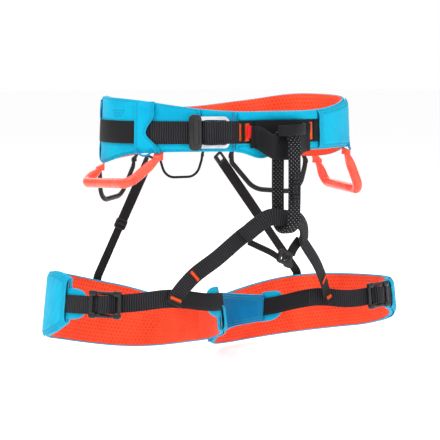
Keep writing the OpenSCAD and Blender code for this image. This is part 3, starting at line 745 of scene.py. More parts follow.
def stitch_group() -> bpy.types.NodeTree:
    """Line of stitches at a distance from an edge, in the groove that it pulls."""
    def body(g: Graph, i) -> tuple:
        x, y, _ = g.split(i["Vector"])
        edge = g.split(i["Rim"])[1]
        off = g.math("ABSOLUTE", g.math("SUBTRACT", edge, i["Inset"]))
        dash = g.math("FRACT", g.math("DIVIDE", g.math("ADD", x, y), i["Stitch"]))
        on = g.math("LESS_THAN", dash, 0.7)
        return g.math("MULTIPLY", g.step(off, 0.0006, 0.0003), on), g.step(off, 0.0018, 0.0)
    return effect("Stitch line", {"Vector": None, "Rim": None, "Inset": 0.003, "Stitch": 0.0028},
                  ["Thread", "Groove"], body)


def wear_group() -> bpy.types.NodeTree:
    """Cloudy colour change, and soft wrinkles of cloth."""
    def body(g: Graph, i) -> tuple:
        cloud = g.noise(i["Vector"], 26.0, 4.0)
        fine = g.noise(i["Vector"], 900.0, 1.0)
        fold = g.noise(i["Vector"], 55.0, 2.0)
        shade = g.math("ADD", g.math("MULTIPLY", cloud, 0.7), g.math("MULTIPLY", fine, 0.3))
        return g.step(shade, 0.3, 0.7), fold
    return effect("Cloth shade", {"Vector": None}, ["Shade", "Wrinkle"], body)


# ---- finishes -----------------------------------------------------------------------------------


@dataclass(frozen=True)
class Finish:
    """A surface of one colour family; its subclasses add their own detail."""

    name: str
    colour: tuple
    dark: tuple
    roughness: float = 0.7
    gloss: float = 0.18

    def build(self) -> bpy.types.Material:
        """Makes the material, or finds it if it's there.

        Returns:
            The material.
        """
        made = bpy.data.materials.get(self.name)
        if made:
            return made
        made = bpy.data.materials.new(self.name)
        made.use_nodes = True
        made.diffuse_color = linear(self.colour)
        g = Graph(made.node_tree)
        made.node_tree.nodes.clear()
        shader = g.node("BsdfPrincipled")
        g.tree.links.new(shader.outputs[0], g.node("OutputMaterial").inputs[0])
        shader.inputs["Roughness"].default_value = self.roughness
        shader.inputs["Specular IOR Level"].default_value = self.gloss
        self.dress(g, shader.inputs)
        return made

    def dress(self, g: Graph, into: bpy.types.NodeInputs) -> None:
        """Writes the finish's own nodes."""
        raise NotImplementedError

    def maps(self, g: Graph) -> tuple:
        """The piece's own UV map, its rim map and its place."""
        uv = g.node("UVMap", uv_map="UVMap").outputs[0]
        rim = g.node("UVMap", uv_map="Rim").outputs[0]
        return uv, rim, g.node("TexCoord").outputs["Object"]

    def bump(self, g: Graph, into: bpy.types.NodeInputs, height, depth: float, strength: float = 1.0) -> None:
        """Feeds the shader's normal from a height in units of depth, in metres."""
        node = g.node("Bump", {"Height": height, "Distance": depth, "Strength": strength})
        g.put(node.outputs[0], into["Normal"])


@dataclass(frozen=True)
class ClothFinish(Finish):
    """Woven cloth, with stitching inside its edges."""

    thread: tuple = (20, 150, 190)
    insets: tuple = (0.003,)
    pitch: float = 0.0007
    sheen: float = 0.05

    def dress(self, g: Graph, into: bpy.types.NodeInputs) -> None:
        """Writes the finish's own nodes."""
        uv, rim, place = self.maps(g)
        shade, wrinkle = g.group(wear_group(), {"Vector": place})
        weave = g.group(weave_group(), {"Vector": uv, "Pitch": self.pitch})[0]
        # Painted shade: the cloth is painted darker in the weave's low points, as shade in the hollows
        # between threads, on top of a cloudy tone that differs at random.
        tone = g.math("MULTIPLY", shade, g.math("MULTIPLY_ADD", weave, 0.5, 0.5))
        colour = g.blend(tone, linear(self.dark), linear(self.colour))
        height = g.math("ADD", g.math("MULTIPLY", weave, 0.12), g.math("MULTIPLY", wrinkle, 1.6))
        for inset in self.insets:
            sizes = {"Vector": uv, "Rim": rim, "Inset": inset, "Stitch": 0.0028}
            thread, groove = g.group(stitch_group(), sizes)
            colour = g.blend(thread, colour, linear(self.thread))
            ridge = g.math("MULTIPLY", thread, 0.7)
            height = g.math("ADD", height, g.math("MULTIPLY_ADD", groove, -1.0, ridge))
        g.put(colour, into["Base Color"])
        g.put(g.step(weave, 0.0, 1.0, self.roughness + 0.1, self.roughness - 0.05), into["Roughness"])
        into["Sheen Weight"].default_value = self.sheen
        into["Sheen Roughness"].default_value = 0.4
        self.bump(g, into, height, 0.0008)


@dataclass(frozen=True)
class MeshFinish(Finish):
    """Airy lining with rows of soft dimples."""

    def dress(self, g: Graph, into: bpy.types.NodeInputs) -> None:
        """Writes the finish's own nodes."""
        uv, _, place = self.maps(g)
        shade, wrinkle = g.group(wear_group(), {"Vector": place})
        hole = g.group(dots_group(), {"Vector": uv, "Pitch": 0.0045, "Row": 0.0036, "Radius": 0.0010})[0]
        weave = g.group(weave_group(), {"Vector": uv, "Pitch": 0.0009})[0]
        # Painted shade: the dimples are painted darker, as shade inside them, on top of a cloudy tone that
        # differs at random.
        tone = g.math("SUBTRACT", g.math("MULTIPLY_ADD", shade, 0.5, 0.5), g.math("MULTIPLY", hole, 0.38))
        g.put(g.blend(tone, linear(self.dark), linear(self.colour)), into["Base Color"])
        g.put(g.step(hole, 0.0, 1.0, self.roughness, 0.95), into["Roughness"])
        into["Sheen Weight"].default_value = 0.04
        height = g.math("SUBTRACT", g.math("MULTIPLY", wrinkle, 1.2), hole)
        self.bump(g, into, g.math("MULTIPLY_ADD", weave, 0.15, height), 0.0008)


@dataclass(frozen=True)
class WebbingFinish(Finish):
    """Webbing: ribbed across, or smooth with fine threads."""

    pitch: float = 0.0022
    depth: float = 0.0007
    speckle: Optional[tuple] = None

    def dress(self, g: Graph, into: bpy.types.NodeInputs) -> None:
        """Writes the finish's own nodes."""
        uv, _, place = self.maps(g)
        shade, _ = g.group(wear_group(), {"Vector": place})
        height, crest = g.group(ribs_group(), {"Vector": uv, "Pitch": self.pitch})
        # Painted light and shade: the rib crests are painted lighter and the grooves between them darker, as
        # light falls on the ribs; a quarter of the tone is cloudy and random.
        tone = g.math("MULTIPLY_ADD", crest, 0.75, g.math("MULTIPLY", shade, 0.25))
        colour = g.blend(tone, linear(self.dark), linear(self.colour))
        if self.speckle:
            dot = g.group(dots_group(), {"Vector": uv, "Pitch": 0.0044, "Row": 0.0026, "Radius": 0.00044})[0]
            colour = g.blend(dot, colour, linear(self.speckle))
            height = g.math("MULTIPLY_ADD", dot, 0.6, height)
        g.put(colour, into["Base Color"])
        g.put(g.step(crest, 0.0, 1.0, self.roughness + 0.15, self.roughness), into["Roughness"])
        self.bump(g, into, height, self.depth)


@dataclass(frozen=True)
class ThreadFinish(Finish):
    """Twisted sewing thread."""

    def dress(self, g: Graph, into: bpy.types.NodeInputs) -> None:
        """Writes the finish's own nodes."""
        uv, _, place = self.maps(g)
        x, y, _ = g.split(uv)
        ply = g.math("SINE", g.math("MULTIPLY", g.math("ADD", x, y), 2 * math.pi / 0.0009))
        shade, _ = g.group(wear_group(), {"Vector": place})
        # Painted shade: the grooves of the twist are painted darker, on top of a cloudy tone that differs at
        # random.
        tone = g.math("MULTIPLY_ADD", ply, 0.25, g.math("MULTIPLY_ADD", shade, 0.4, 0.35))
        g.put(g.blend(tone, linear(self.dark), linear(self.colour)), into["Base Color"])
        g.put(g.step(ply, -1.0, 1.0, self.roughness + 0.1, self.roughness - 0.1), into["Roughness"])
        self.bump(g, into, ply, 0.0001)


@dataclass(frozen=True)
class HardFinish(Finish):
    """Moulded plastic, anodised or polished metal, with fine grain and scuffs."""

    metal: float = 0.0
    coat: float = 0.0
    grain: float = 0.00004
    scuff: float = 0.12
    inner: float = 0.0

    def dress(self, g: Graph, into: bpy.types.NodeInputs) -> None:
        """Writes the finish's own nodes."""
        place = g.node("TexCoord").outputs["Object"]
        cloud, fine = g.noise(place, 60.0, 3.0), g.noise(place, 1500.0, 2.0)
        mark = g.step(g.noise(place, 210.0, 6.0), 0.56, 0.72)
        g.put(g.blend(g.step(cloud, 0.3, 0.7), linear(self.dark), linear(self.colour)), into["Base Color"])
        even = g.step(cloud, 0.3, 0.7, self.roughness, self.roughness + 0.06)
        rough = g.math("MULTIPLY_ADD", mark, self.scuff, even)
        g.put(rough, into["Roughness"])
        into["Metallic"].default_value = self.metal
        into["Coat Weight"].default_value = self.coat
        into["Coat Roughness"].default_value = 0.12
        into["Subsurface Weight"].default_value = self.inner
        into["Subsurface Radius"].default_value = (0.004, 0.0012, 0.0008)
        self.bump(g, into, g.math("MULTIPLY_ADD", cloud, 2.0, fine), self.grain)


CYAN = ClothFinish("Blue cloth", (0, 182, 216), (0, 152, 190), 0.62, gloss=0.1)
CYAN_PLAIN = ClothFinish("Blue ribbon", (0, 180, 216), (0, 150, 190), 0.6, gloss=0.1, insets=(0.0022,))
CYAN_DOUBLE = ClothFinish("Blue sleeve cloth", (0, 186, 222), (0, 158, 196), 0.6, gloss=0.1,
                          insets=(0.0022, 0.0050))
# Painted shade: a darker copy of the blue cloth, for the left loop's inner sleeve where it sits in shade
# between the loops, and for the dark look of the hip vent holes.
CYAN_SHADED = ClothFinish("Deep blue cloth", (0, 132, 186), (0, 104, 152), 0.6, insets=(0.0022, 0.0050))
ORANGE = MeshFinish("Orange lining", (255, 84, 48), (214, 48, 24), 0.8)
SMOOTH = WebbingFinish("Smooth webbing", (26, 25, 28), (12, 12, 13), 0.55, pitch=0.0011, depth=0.00012)
RIBBED = WebbingFinish("Ribbed webbing", (46, 45, 50), (4, 4, 5), 0.5, pitch=0.0026, depth=0.0009)
BAND = WebbingFinish("Tie-in band", (23, 23, 26), (12, 12, 14), 0.55, pitch=0.0009, depth=0.0001)
SPECKLED = WebbingFinish("Belay webbing", (22, 21, 24), (6, 6, 8), 0.6, pitch=0.0018, speckle=(176, 176, 182))
SEWING = ThreadFinish("Black thread", (50, 50, 54), (14, 14, 16), 0.6)
TACKING = ThreadFinish("Orange thread", (255, 104, 40), (226, 66, 24), 0.55)
LABEL = WebbingFinish("Red ribbon", (238, 34, 40), (200, 18, 26), 0.6, pitch=0.0008, depth=0.0001)
SILVER = HardFinish("Satin silver", (206, 208, 212), (176, 178, 184), 0.26, gloss=0.5, metal=1.0, scuff=0.04)
BLACK_METAL = HardFinish("Black anodised metal", (20, 20, 22), (9, 9, 11), 0.3, gloss=0.45, coat=0.1)
PLASTIC = HardFinish("Black plastic", (18, 18, 20), (9, 9, 11), 0.4, gloss=0.4, grain=0.00008)
CORAL = HardFinish("Coral tube", (255, 84, 56), (246, 66, 40), 0.24, gloss=0.4, coat=0.35, inner=0.15)
BLACK_TUBE = HardFinish("Black tube", (16, 16, 18), (8, 8, 10), 0.38, gloss=0.3, coat=0.1)
CORD_BLACK = WebbingFinish("Black cord", (30, 30, 33), (10, 10, 12), 0.6, pitch=0.0014, depth=0.0002)
CORD_BLUE = WebbingFinish("Blue cord", (0, 150, 205), (0, 108, 160), 0.6, pitch=0.0014, depth=0.0002)


def dress(obj: bpy.types.Object, finish: Finish, slot: str, body: Optional[str],
          *nodes: str) -> bpy.types.Object:
    """Gives a piece its finish and its body, and hides the solids that it stands for.

    Args:
        obj: The piece.
        finish: Its finish.
        slot: Not used.
        body: The body that it rides on, or None for a piece that is left unattached.
        *nodes: The CAD nodes that it replaces.

    Returns:
        The piece.
    """
    obj.data.materials.clear()
    obj.data.materials.append(finish.build())
    if body:
        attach(obj, body)
    if nodes:
        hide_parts(*nodes)
    LOG.info("%s: %d faces on %s", obj.name, len(obj.data.polygons), body)
    return obj


def declare_sheet(obj: bpy.types.Object, held: str, *rests_on: str) -> None:
    """Reads a cloth piece's UV coordinates from its own mesh, and does nothing more with them.

    Args:
        obj: The piece, a thin closed mesh.
        held: Not used.
        *rests_on: Not used.
    """
    uv = np.empty(len(obj.data.uv_layers["UVMap"].data) * 2)
    obj.data.uv_layers["UVMap"].data.foreach_get("uv", uv)


# ---- builders for cloth and thread ------------------------------------------------------------


def pad_on(name: str, surface: Surface, q0: float, q1: float, steps: int, puff: float = 1.1,
           seams: Sequence[float] = (), grow: float = 0.0) -> bpy.types.Object:
    """Crowned pad whose edges pull in to its seams.

    Args:
        name: The piece's name.
        surface: What it follows.
        q0: First angle.
        q1: Last angle.
        steps: Rings along it.
        puff: Extra swelling of its inner face between sewn channels.
        seams: Angles of the channels sewn across it.
        grow: Extra height at its top edge.

    Returns:
        The new object.
    """
    across = np.sin(np.linspace(-math.pi / 2, math.pi / 2, 17))
    run_end = surface.run(q0, q1)
    rings = []
    for q in np.linspace(q0, q1, steps + 1):
        run = surface.run(q0, q)
        end = max(0.12, math.sqrt(min(1.0, min(run, run_end - run) / 5)))
        gaps = [surface.run(min(s, q), max(s, q)) / 3.5 for s in seams]
        channel = min([1.0] + [1 - math.exp(-gap ** 2) for gap in gaps])
        lo, hi = surface.bottom(q), surface.top(q) + grow
        body = [(s, max(0.0, 1 - abs(s) ** 7) ** 0.5) for s in across]
        outer = [(PAD_MIDDLE + PAD_HALF * end * w, mix(lo, hi, (s + 1) / 2)) for s, w in body]
        thin = PAD_HALF * mix(0.62, 1.0, channel)
        inner = [(PAD_MIDDLE - end * (thin * w + puff * channel * (1 - s * s)),
                  mix(lo, hi, (s + 1) / 2)) for s, w in reversed(body[1:-1])]
        rings.append([surface.at(q, o, z) for o, z in outer + inner])
    return Loft(name, np.array(rings), angle=60).build()


def cloth_section(surface: Surface, lift: float, rise: float, flank: float) -> Callable:
    """Section of a cloth that lies over the webbing and comes down to the pad at both edges.

    Args:
        surface: What it lies on.
        lift: Distance over the webbing.
        rise: Distance at its edges.
        flank: Width over which it comes down.

    Returns:
        Function that gives the section at an angle.
    """
    def section(q: float) -> list:
        lo, hi = surface.bottom(q), surface.top(q)
        pts = []
        for z in np.linspace(lo, hi, 25):
            near = min(z - lo, hi - z)
            ripple = 0.18 * math.sin(q * 0.9 + z * 0.35) * ease(near, 0, flank)
            pts.append((rise + (lift - rise) * math.sqrt(ease(near, 0, flank)) + ripple, z))
        return pts
    return section


def zigzag(name: str, place: Callable, width: float, height: float, passes: int,
           r: float = THREAD_RADIUS) -> bpy.types.Object:
    """Dense zigzag of thread, as in a bar tack.

    Args:
        name: The piece's name.
        place: Gives a point and an outward direction from (sideways, upwards), in millimetres.
        width: Width of the zigzag.
        height: Height that it covers.
        passes: Number of passes across.
        r: Radius of the thread.

    Returns:
        The new object.
    """
    corners = [(width / 2 if k % 2 else -width / 2, mix(-height / 2, height / 2, k / passes))
               for k in range(passes + 1)]
    path, faces = [], []
    for (a, b), (c, d) in zip(corners, corners[1:]):
        for f in (0.0, 0.25, 0.5, 0.75):
            p, n = place(mix(a, c, f), mix(b, d, f))
            path.append(p + n * 0.35 * math.sin(math.pi * f))
            faces.append(n)
    return sweep(name, np.array(path), np.array(faces), round_section(r, 5), angle=80)


def tube_loop(name: str, frame: tuple, outline: list, radii: list, r: float, taper: float,
              foot: float = 0.5, squash: float = 1.0) -> bpy.types.Object:
    """Loop of tube in its own plane, with flattened ends.

    Args:
        name: The piece's name.
        frame: First end, direction along the line of its ends, direction down it.
        outline: Corners in that plane.
        radii: Radii of the corners.
        r: Radius of the tube.
        taper: Length over which each end goes flat.
        foot: Size of an end, as a part of the tube's.
        squash: Depth of the tube's section, as a part of its width.

    Returns:
        The new object.
    """
    start, along, down = frame
    flat = even_path(rounded_path(outline, radii), 1.6)
    path = np.array([start + along * x + down * y for x, y in flat])
    far = np.concatenate([[0], np.cumsum(np.linalg.norm(np.diff(path, axis=0), axis=1))])

    def section(f: float) -> np.ndarray:
        i = round(f * (len(path) - 1))
        g = ease(min(far[i], far[-1] - far[i]), 0, taper)
        ring = round_section(r, 18)
        return ring * np.array([mix(0.92, 1.0, g), mix(foot, squash, g)])

    return sweep(name, path, np.tile(np.cross(along, down), (len(path), 1)), section, angle=60)


def plate(name: str, long: float, high: float, thick: float, corner: float, rail: float,
          bevel: float = 0.8, cuts: int = 8) -> bpy.types.Object:
    """Plate on edge along X with rounded corners, and a window if rail isn't 0.

    Args:
        name: The piece's name.
        long: Length along X.
        high: Height along Z.
        thick: Thickness along Y.
        corner: Radius of its corners.
        rail: Width of the bars round the window, or 0.
        bevel: Rounding of its edges.
        cuts: Steps round each corner.

    Returns:
        The new object, centred on the origin.
    """
    deselect()
    bpy.ops.mesh.primitive_plane_add(size=1, location=(0, 0, 0), rotation=(math.pi / 2, 0, 0))
    obj = bpy.context.view_layer.objects.active
    obj.name = name
    obj.scale = (long * MM, high * MM, 1)
    settle(obj)
    bpy.ops.object.mode_set(mode="EDIT")
    bpy.ops.mesh.select_all(action="SELECT")
    bpy.ops.mesh.bevel(offset=corner * MM, segments=cuts, affect="VERTICES")
    bpy.ops.mesh.select_all(action="SELECT")
    if rail:
        bpy.ops.mesh.inset(thickness=rail * MM, depth=0)
        bpy.ops.mesh.delete(type="FACE")
        bpy.ops.mesh.select_all(action="SELECT")
    bpy.ops.object.mode_set(mode="OBJECT")
    wall = obj.modifiers.new("Wall", "SOLIDIFY")
    wall.thickness, wall.offset = thick * MM, 0
    edge = obj.modifiers.new("Edge", "BEVEL")
    edge.width, edge.segments, edge.limit_method, edge.angle_limit = bevel * MM, 3, "ANGLE", math.radians(50)
    finish_modifiers(obj)
    tidy_normals(obj, 35)
    return obj


def bar(name: str, long: float, thick: float, high: float, bevel: float) -> bpy.types.Object:
    """Bar with rounded edges, standing along Z, centred on the origin."""
    deselect()
    bpy.ops.mesh.primitive_cube_add(size=1, location=(0, 0, 0))
    obj = bpy.context.view_layer.objects.active
    obj.name = name
    obj.scale = (long * MM, thick * MM, high * MM)
    settle(obj)
    bpy.ops.object.mode_set(mode="EDIT")
    bpy.ops.mesh.select_all(action="SELECT")
    bpy.ops.mesh.bevel(offset=bevel * MM, segments=4, affect="EDGES")
    bpy.ops.object.mode_set(mode="OBJECT")
    tidy_normals(obj, 35)
    return obj


def move(obj: bpy.types.Object, x: float = 0, y: float = 0, z: float = 0) -> bpy.types.Object:
    """Shifts a piece by millimetres and puts the shift in its mesh."""
    settle(obj, Matrix.Translation((x * MM, y * MM, z * MM)))
    return obj


def local_strap(name: str, seat: Matrix, points: list, width: float, thick: float) -> bpy.types.Object:
    """Strap along a path in a seat's own axes, its face towards -Y."""
    path = even_path(smooth_path(points, 6), 1.5)
    faces = np.tile((0.0, -1.0, 0.0), (len(path), 1)) + 1e-4
    obj = sweep(name, path, faces, strip_section(width, thick, 0.1))
    settle(obj, seat)
    return obj


# ---- sub-assemblies ---------------------------------------------------------------------------


@dataclass
class WaistPad:
    """Padded belt: lining, padding, outer shell, slider pad, front roll and lower flap."""

    belt: BeltSurface
    seam_left: float = -19
    seam_right: float = -35
    roll: tuple = (-18, 23)
    flap: tuple = (-19, 0)
    channels: tuple = (40, 92, 130, 180, 230, 268)
    wrap: float = 0.3

    def shell_section(self, q: float) -> list:
        """Section of the shell; past the pad's ends it turns in over them."""
        lo, hi = self.belt.bottom(q), self.belt.top(q)
        low = [(-3.2, lo + 0.1), (-1.6, lo + 0.7), (-0.6, lo + 2.2), (-0.35, lo + 4.5)]
        side = [(-0.3 + 0.12 * math.sin(q * 0.7 + z * 0.3), z) for z in np.linspace(lo + 8, hi - 6, 9)]
        high = [(-0.4, hi - 3.2), (-0.9, hi - 1.2), (-1.9, hi - 0.1), (-3.0, hi + 0.1)]
        past = 2.6 * max(0.0, self.seam_left - q, q - 360 - self.seam_right) / self.wrap
        return [(o - past, z) for o, z in low + side + high]

    def build(self) -> None:
        """Makes the padded belt."""
        belt, a, b = self.belt, self.seam_left, 360 + self.seam_right
        pad = pad_on("waist_pad", belt, a + self.wrap, b - self.wrap, 150, seams=self.channels)
        dress(pad, ORANGE, "lining_mesh", "waist", "waist_lining", "waist_foam_core")
        round_it = np.concatenate([[a - self.wrap], np.linspace(a, b, 151), [b + self.wrap]])
        shell = sheet_on("waist_shell", belt, round_it, self.shell_section)
        dress(shell, CYAN, "shell_fabric", "waist", "waist_outer_shell")
        declare_sheet(shell, "stretched", "waist_pad")
        inner = pad_on("slider_pad", belt, self.seam_right + 0.45, a - 0.45, 24, puff=0.4, grow=0.8)
        dress(inner, CYAN, "shell_fabric", "waist", "waist_slider_pad")
        self.build_roll()
        self.build_flap()

    def build_roll(self) -> None:
        """Makes the rolled edge over the front webbing."""
        rings = []
        q0, q1 = self.roll
        for q in np.linspace(q0, q1, 41):
            end = math.sqrt(max(0.02, min(1.0, min(q - q0, q1 - q) / 1.2)))
            lo, hi = 12.7, self.belt.top(q) + 0.6
            ring = []
            for k in range(16):
                t = 2 * math.pi * k / 16
                o = 1.3 + 3.0 * end * math.sin(t) * (1 + 0.06 * math.sin(q * 2.1))
                high = (hi - lo) / 2 * mix(0.8, 1, end)
                ring.append(self.belt.at(q, o, (lo + hi) / 2 + high * math.cos(t)))
            rings.append(ring)
        dress(Loft("front_roll", np.array(rings), angle=70).build(), CYAN_PLAIN, "shell_fabric", "waist",
              "waist_front_roll")

    def build_flap(self) -> None:
        """Makes the flap that shows under the front webbing."""
        def section(q: float) -> list:
            bulge = 7 * math.exp(-((q + 8) / 6.5) ** 2)
            lo = self.belt.bottom(q) - bulge
            return [(mix(1.2, 1.7 + 0.4 * math.sin(q * 0.8), math.sin(math.pi * f)), mix(lo, -11.8, f))
                    for f in np.linspace(0, 1, 9)]
        flap = sheet_on("front_flap", self.belt, np.linspace(*self.flap, 25), section)
        dress(flap, CYAN, "shell_fabric", "waist", "waist_lower_flap")
        declare_sheet(flap, "stretched", "waist_shell")


@dataclass
class WaistStraps:
    """Webbing round the belt, the sleeves over it and their small sewn parts."""

    belt: BeltSurface
    width: float = 25
    thick: float = 2
    front_to: float = 20
    tail_from: float = -59
    seam: float = -19
    rear_sleeve: tuple = (119, 241)
    left_sleeve: tuple = (24, 68)
    right_sleeve: tuple = (-68, -61.5)
    right_spread: tuple = (7.5, 4.5)
    tacks: tuple = (-18.8, -15, 17.2)
    tack_arc: float = 1.7
    label_at: float = -12.2
    keeper_at: float = 62
    bight: tuple = (8, 6, 1.6)
    bight_r: float = 1.1
    rear_tabs: tuple = (117.2, 243)

    def webbing(self, name: str, q0: float, q1: float, finish: Finish, slot: str, node: str,
                steps: int) -> None:
        """Makes one run of webbing."""
        section = strip_section(self.width, self.thick, 0.1)
        made = band_on(name, self.belt, q0, q1, lambda q: 0, section, steps)
        dress(made, finish, slot, "waist", node)

    def build(self) -> None:
        """Makes the webbing, sleeves, tacks, label and keepers."""
        self.webbing("belt_webbing", self.front_to + 0.4, 360 + self.tail_from - 0.4, SMOOTH,
                     "webbing_smooth", "waist_webbing_main", 120)
        self.webbing("front_webbing", self.seam, self.front_to, SMOOTH, "webbing_smooth",
                     "waist_webbing_front", 40)
        self.webbing("tail_webbing", self.tail_from, self.seam - 0.6, RIBBED, "webbing_ribbed",
                     "waist_webbing_tail", 40)
        section = cloth_section(self.belt, 3.4, 0.55, 6.5)
        for name, arc, steps, finish in (("rear", self.rear_sleeve, 90, CYAN),
                                         ("left", self.left_sleeve, 40, CYAN_DOUBLE)):
            made = sheet_on("belt_sleeve_" + name, self.belt, np.linspace(*arc, steps), section)
            dress(made, finish, "shell_fabric", "waist", "waist_%s_sleeve" % name)
            declare_sheet(made, "stretched", "belt_webbing", "waist_shell")
        self.build_right_strap()
        self.build_vents()
        self.build_tacks()
        self.build_keepers()

    def build_right_strap(self) -> None:
        """Makes the strap that narrows over the webbing and spreads to the belt's edges."""
        lo, hi = self.belt.bottom(-65) + 0.4, self.belt.top(-65) - 0.4
        back, front = self.right_sleeve
        rings, uvs = [], []
        for z in np.linspace(lo, hi, 25):
            near = min(z - lo, hi - z)
            o = 0.6 + 2.8 * math.sqrt(ease(near, 0, 7))
            edge = front + self.right_spread[int(z > 0)] * ease(abs(z), 0, self.width * 0.8)
            rings.append([self.belt.at(mix(back, edge, f), o, z) for f in np.linspace(0, 1, 7)])
            uvs.append([(z, MM_PER_DEGREE * (edge - back) * f) for f in np.linspace(0, 1, 7)])
        uv = np.array(uvs)
        rim = np.minimum(uv[:, :, 1] - uv[:, :1, 1], uv[:, -1:, 1] - uv[:, :, 1])
        made = Loft("right_hip_strap", np.array(rings), around=False, thickness=CLOTH, rim=rim,
                    uv=uv).build()
        dress(made, CYAN_PLAIN, "shell_fabric", "waist", "waist_right_sleeve")
        declare_sheet(made, "stretched", "belt_webbing", "waist_shell")

    def build_vents(self) -> None:
        """Makes the small punched holes above the webbing at the right hip."""
        made = []
        for row in range(3):
            for k in range(5 - row):
                seat = self.belt.seat(-86 + 2.2 * k + 1.1 * row, 23.5 - 3.2 * row)
                bpy.ops.mesh.primitive_cylinder_add(vertices=12, radius=0.75 * MM, depth=0.5 * MM,
                                                    rotation=(math.pi / 2, 0, 0))
                made.append(bpy.context.view_layer.objects.active)
                settle(move(made[-1], y=-0.2), seat)
        # The vent holes are painted in the darker blue, as painted shade inside the holes.
        dress(join("hip_vents", made), CYAN_SHADED, "shell_fabric", "waist")

    def build_tacks(self) -> None:
        """Makes the orange bar tacks and the folded label."""
        made = []
        for q in self.tacks:
            mid = q + self.tack_arc / 2

            def place(x: float, z: float) -> tuple:
                angle = mid + x / MM_PER_DEGREE
                return self.belt.at(angle, 2.75, z), self.belt.out(angle)
            made.append(zigzag("tack", place, 4.2, 19, 44))
        dress(join("waist_tacks", made), TACKING, "tack_thread", "waist", "waist_bar_tacks")
        loop = [(-4.2, 0), (-4.4, 1.0), (0.5, 1.5), (4.6, 1.0), (4.8, 0.3), (4.2, 0.0), (0.5, -0.1)]
        rings = [[self.belt.at(self.label_at - 0.9 + q, 4.6 + o, z * 1.5) for z, o in loop]
                 for q in np.linspace(-1.5, 1.5, 7)]
        tab = Loft("label_tab", np.array(rings), angle=60).build()
        dress(tab, LABEL, "label_red", "waist", "waist_label_tab")

    def build_keepers(self) -> None:
        """Makes the cord bights under the hips and the small tabs by the rear sleeve."""
        made = []
        for side in (-1, 1):
            q = side * self.keeper_at
            n = self.belt.out(q)
            along = np.array([-n[1], n[0], 0])
            centre = self.belt.at(q, 4.4, self.belt.bottom(q) + 3)
            half, deep, tuck = self.bight
            path = np.array([centre + along * half * math.cos(t) + np.array([0, 0, -deep * math.sin(t)])
                             - n * tuck * abs(math.cos(t)) ** 3
                             for t in np.linspace(-0.35, math.pi + 0.35, 33)])
            made.append(sweep("bight", path, np.tile(n, (len(path), 1)), round_section(self.bight_r, 8)))
        for q in self.rear_tabs:
            top = self.belt.top(q)
            shape = ((12, -1.6), (13, 0.5), (20, 0.75), (top - 4, 0.3), (top - 3.6, -1.6), (16, -0.6))
            rings = [[self.belt.at(q + f, 2.9 + o, z) for z, o in shape] for f in np.linspace(-1, 1, 5)]
            made.append(Loft("tab", np.array(rings), angle=50).build())
        dress(join("keeper_cords", made), CORD_BLUE, "shell_fabric", "waist", "waist_keepers")


@dataclass
class Buckle:
    """Frame with rounded rails, the slider bar in it and the fold of webbing over the bar."""

    length: float = 45
    web: float = 25
    thick: float = 3
    stand: float = 3.2
    slider: float = 5
    hump_at: float = 2
    rail: float = 5.9

    def frame(self, name: str, seat: Matrix, corner: float, lumps: bool = False) -> bpy.types.Object:
        """Makes the frame.

        Args:
            name: The piece's name.
            seat: Placement on the webbing.
            corner: Radius of its corners.
            lumps: True for a leg buckle, whose corners are cast thicker.

        Returns:
            The new object.
        """
        y = -self.stand - self.thick / 2
        high = self.web + 0.4 + 2 * self.rail
        parts = [plate(name, self.length, high, self.thick, corner, self.rail, 1.35)]
        move(parts[0], y=y)
        if lumps:
            for x in (-1, 1):
                for z in (-1, 1):
                    lump = plate("lump", 9.5, self.rail + 2, self.thick + 2.0, 2.9, 0, 1.1, 5)
                    parts.append(move(lump, x * (self.length / 2 - 4.2), y - 0.5,
                                      z * (self.web + self.rail) / 2))
        whole = join(name, parts)
        settle(whole, seat)
        return whole

    def bar(self, name: str, seat: Matrix) -> bpy.types.Object:
        """Makes the slider bar with its gripping ridges."""
        y = -self.stand - self.thick / 2
        parts = [move(bar(name, self.slider, self.thick, self.web - 0.1, 0.7), y=y)]
        for x in (-1, 1):
            ridge = bar("ridge", 0.9, 0.9, self.web - 2, 0.4)
            parts.append(move(ridge, x * (self.slider / 2 - 1), y - self.thick / 2))
        for x in (-1.2, 0, 1.2):
            key = bar("key", 0.5, 0.5, self.web - 6, 0.2)
            parts.append(move(key, x * self.slider / 5, y + self.thick / 2))
        whole = move(join(name, parts), x=self.hump_at)
        settle(whole, seat)
        return whole

    def fold(self, name: str, seat: Matrix, reach: float) -> bpy.types.Object:
        """Makes the fold of webbing over the slider bar and the frame's end bar."""
        top = self.stand + self.thick + 1.9
        low = self.stand + 0.7
        end = self.length / 2
        points = [(-reach - 3, -low, 0), (-reach + 1, -low - 0.1, 0), (-reach * 0.45, -top + 0.4, 0),
                  (0, -top - 0.5, 0), (reach * 0.45, -top + 0.2, 0), (reach * 0.8, -top + 0.9, 0),
                  (end - 1, -top + 0.2, 0), (end + 4, -top + 2.6, 0), (end + 8, -3.4, 0)]
        return local_strap(name, Matrix(seat) @ Matrix.Translation((self.hump_at * MM, 0, 0)), points,
                           self.web - 0.2, 1.9)


@dataclass
class WaistBuckle:
    """Silver buckle at the wearer's right front, with its black cover plate."""

    belt: BeltSurface
    at: float = -31
    plate_long: float = 14

    def build(self) -> None:
        """Makes the frame, plate, slider bar and fold."""
        seat, parts = self.belt.seat(self.at, 0), Buckle(rail=4.7)
        dress(parts.frame("waist_buckle", seat, 6.5), SILVER, "buckle_silver", "waist", "waist_buckle_frame")
        cover = plate("buckle_plate", self.plate_long, parts.web + 14.2, parts.thick, 5.2, 0, 1.0)
        slot = plate("lip", 7, parts.web + 4, 1.2, 2.2, 1.4, 0.4, 4)
        cover = join("buckle_plate", [cover, move(slot, 1.5, -parts.thick / 2 - 0.3)])
        move(cover, -parts.length / 2 + self.plate_long / 2 - 0.5, -parts.stand - parts.thick * 1.5 - 0.3)
        settle(cover, seat)
        dress(cover, BLACK_METAL, "buckle_black", "waist", "waist_buckle_plate")
        dress(parts.bar("waist_slider_bar", seat), BLACK_METAL, "buckle_black", "waist_slider",
              "waist_buckle_slider")
        dress(parts.fold("tail_fold", seat, 11), RIBBED, "webbing_ribbed", "waist")


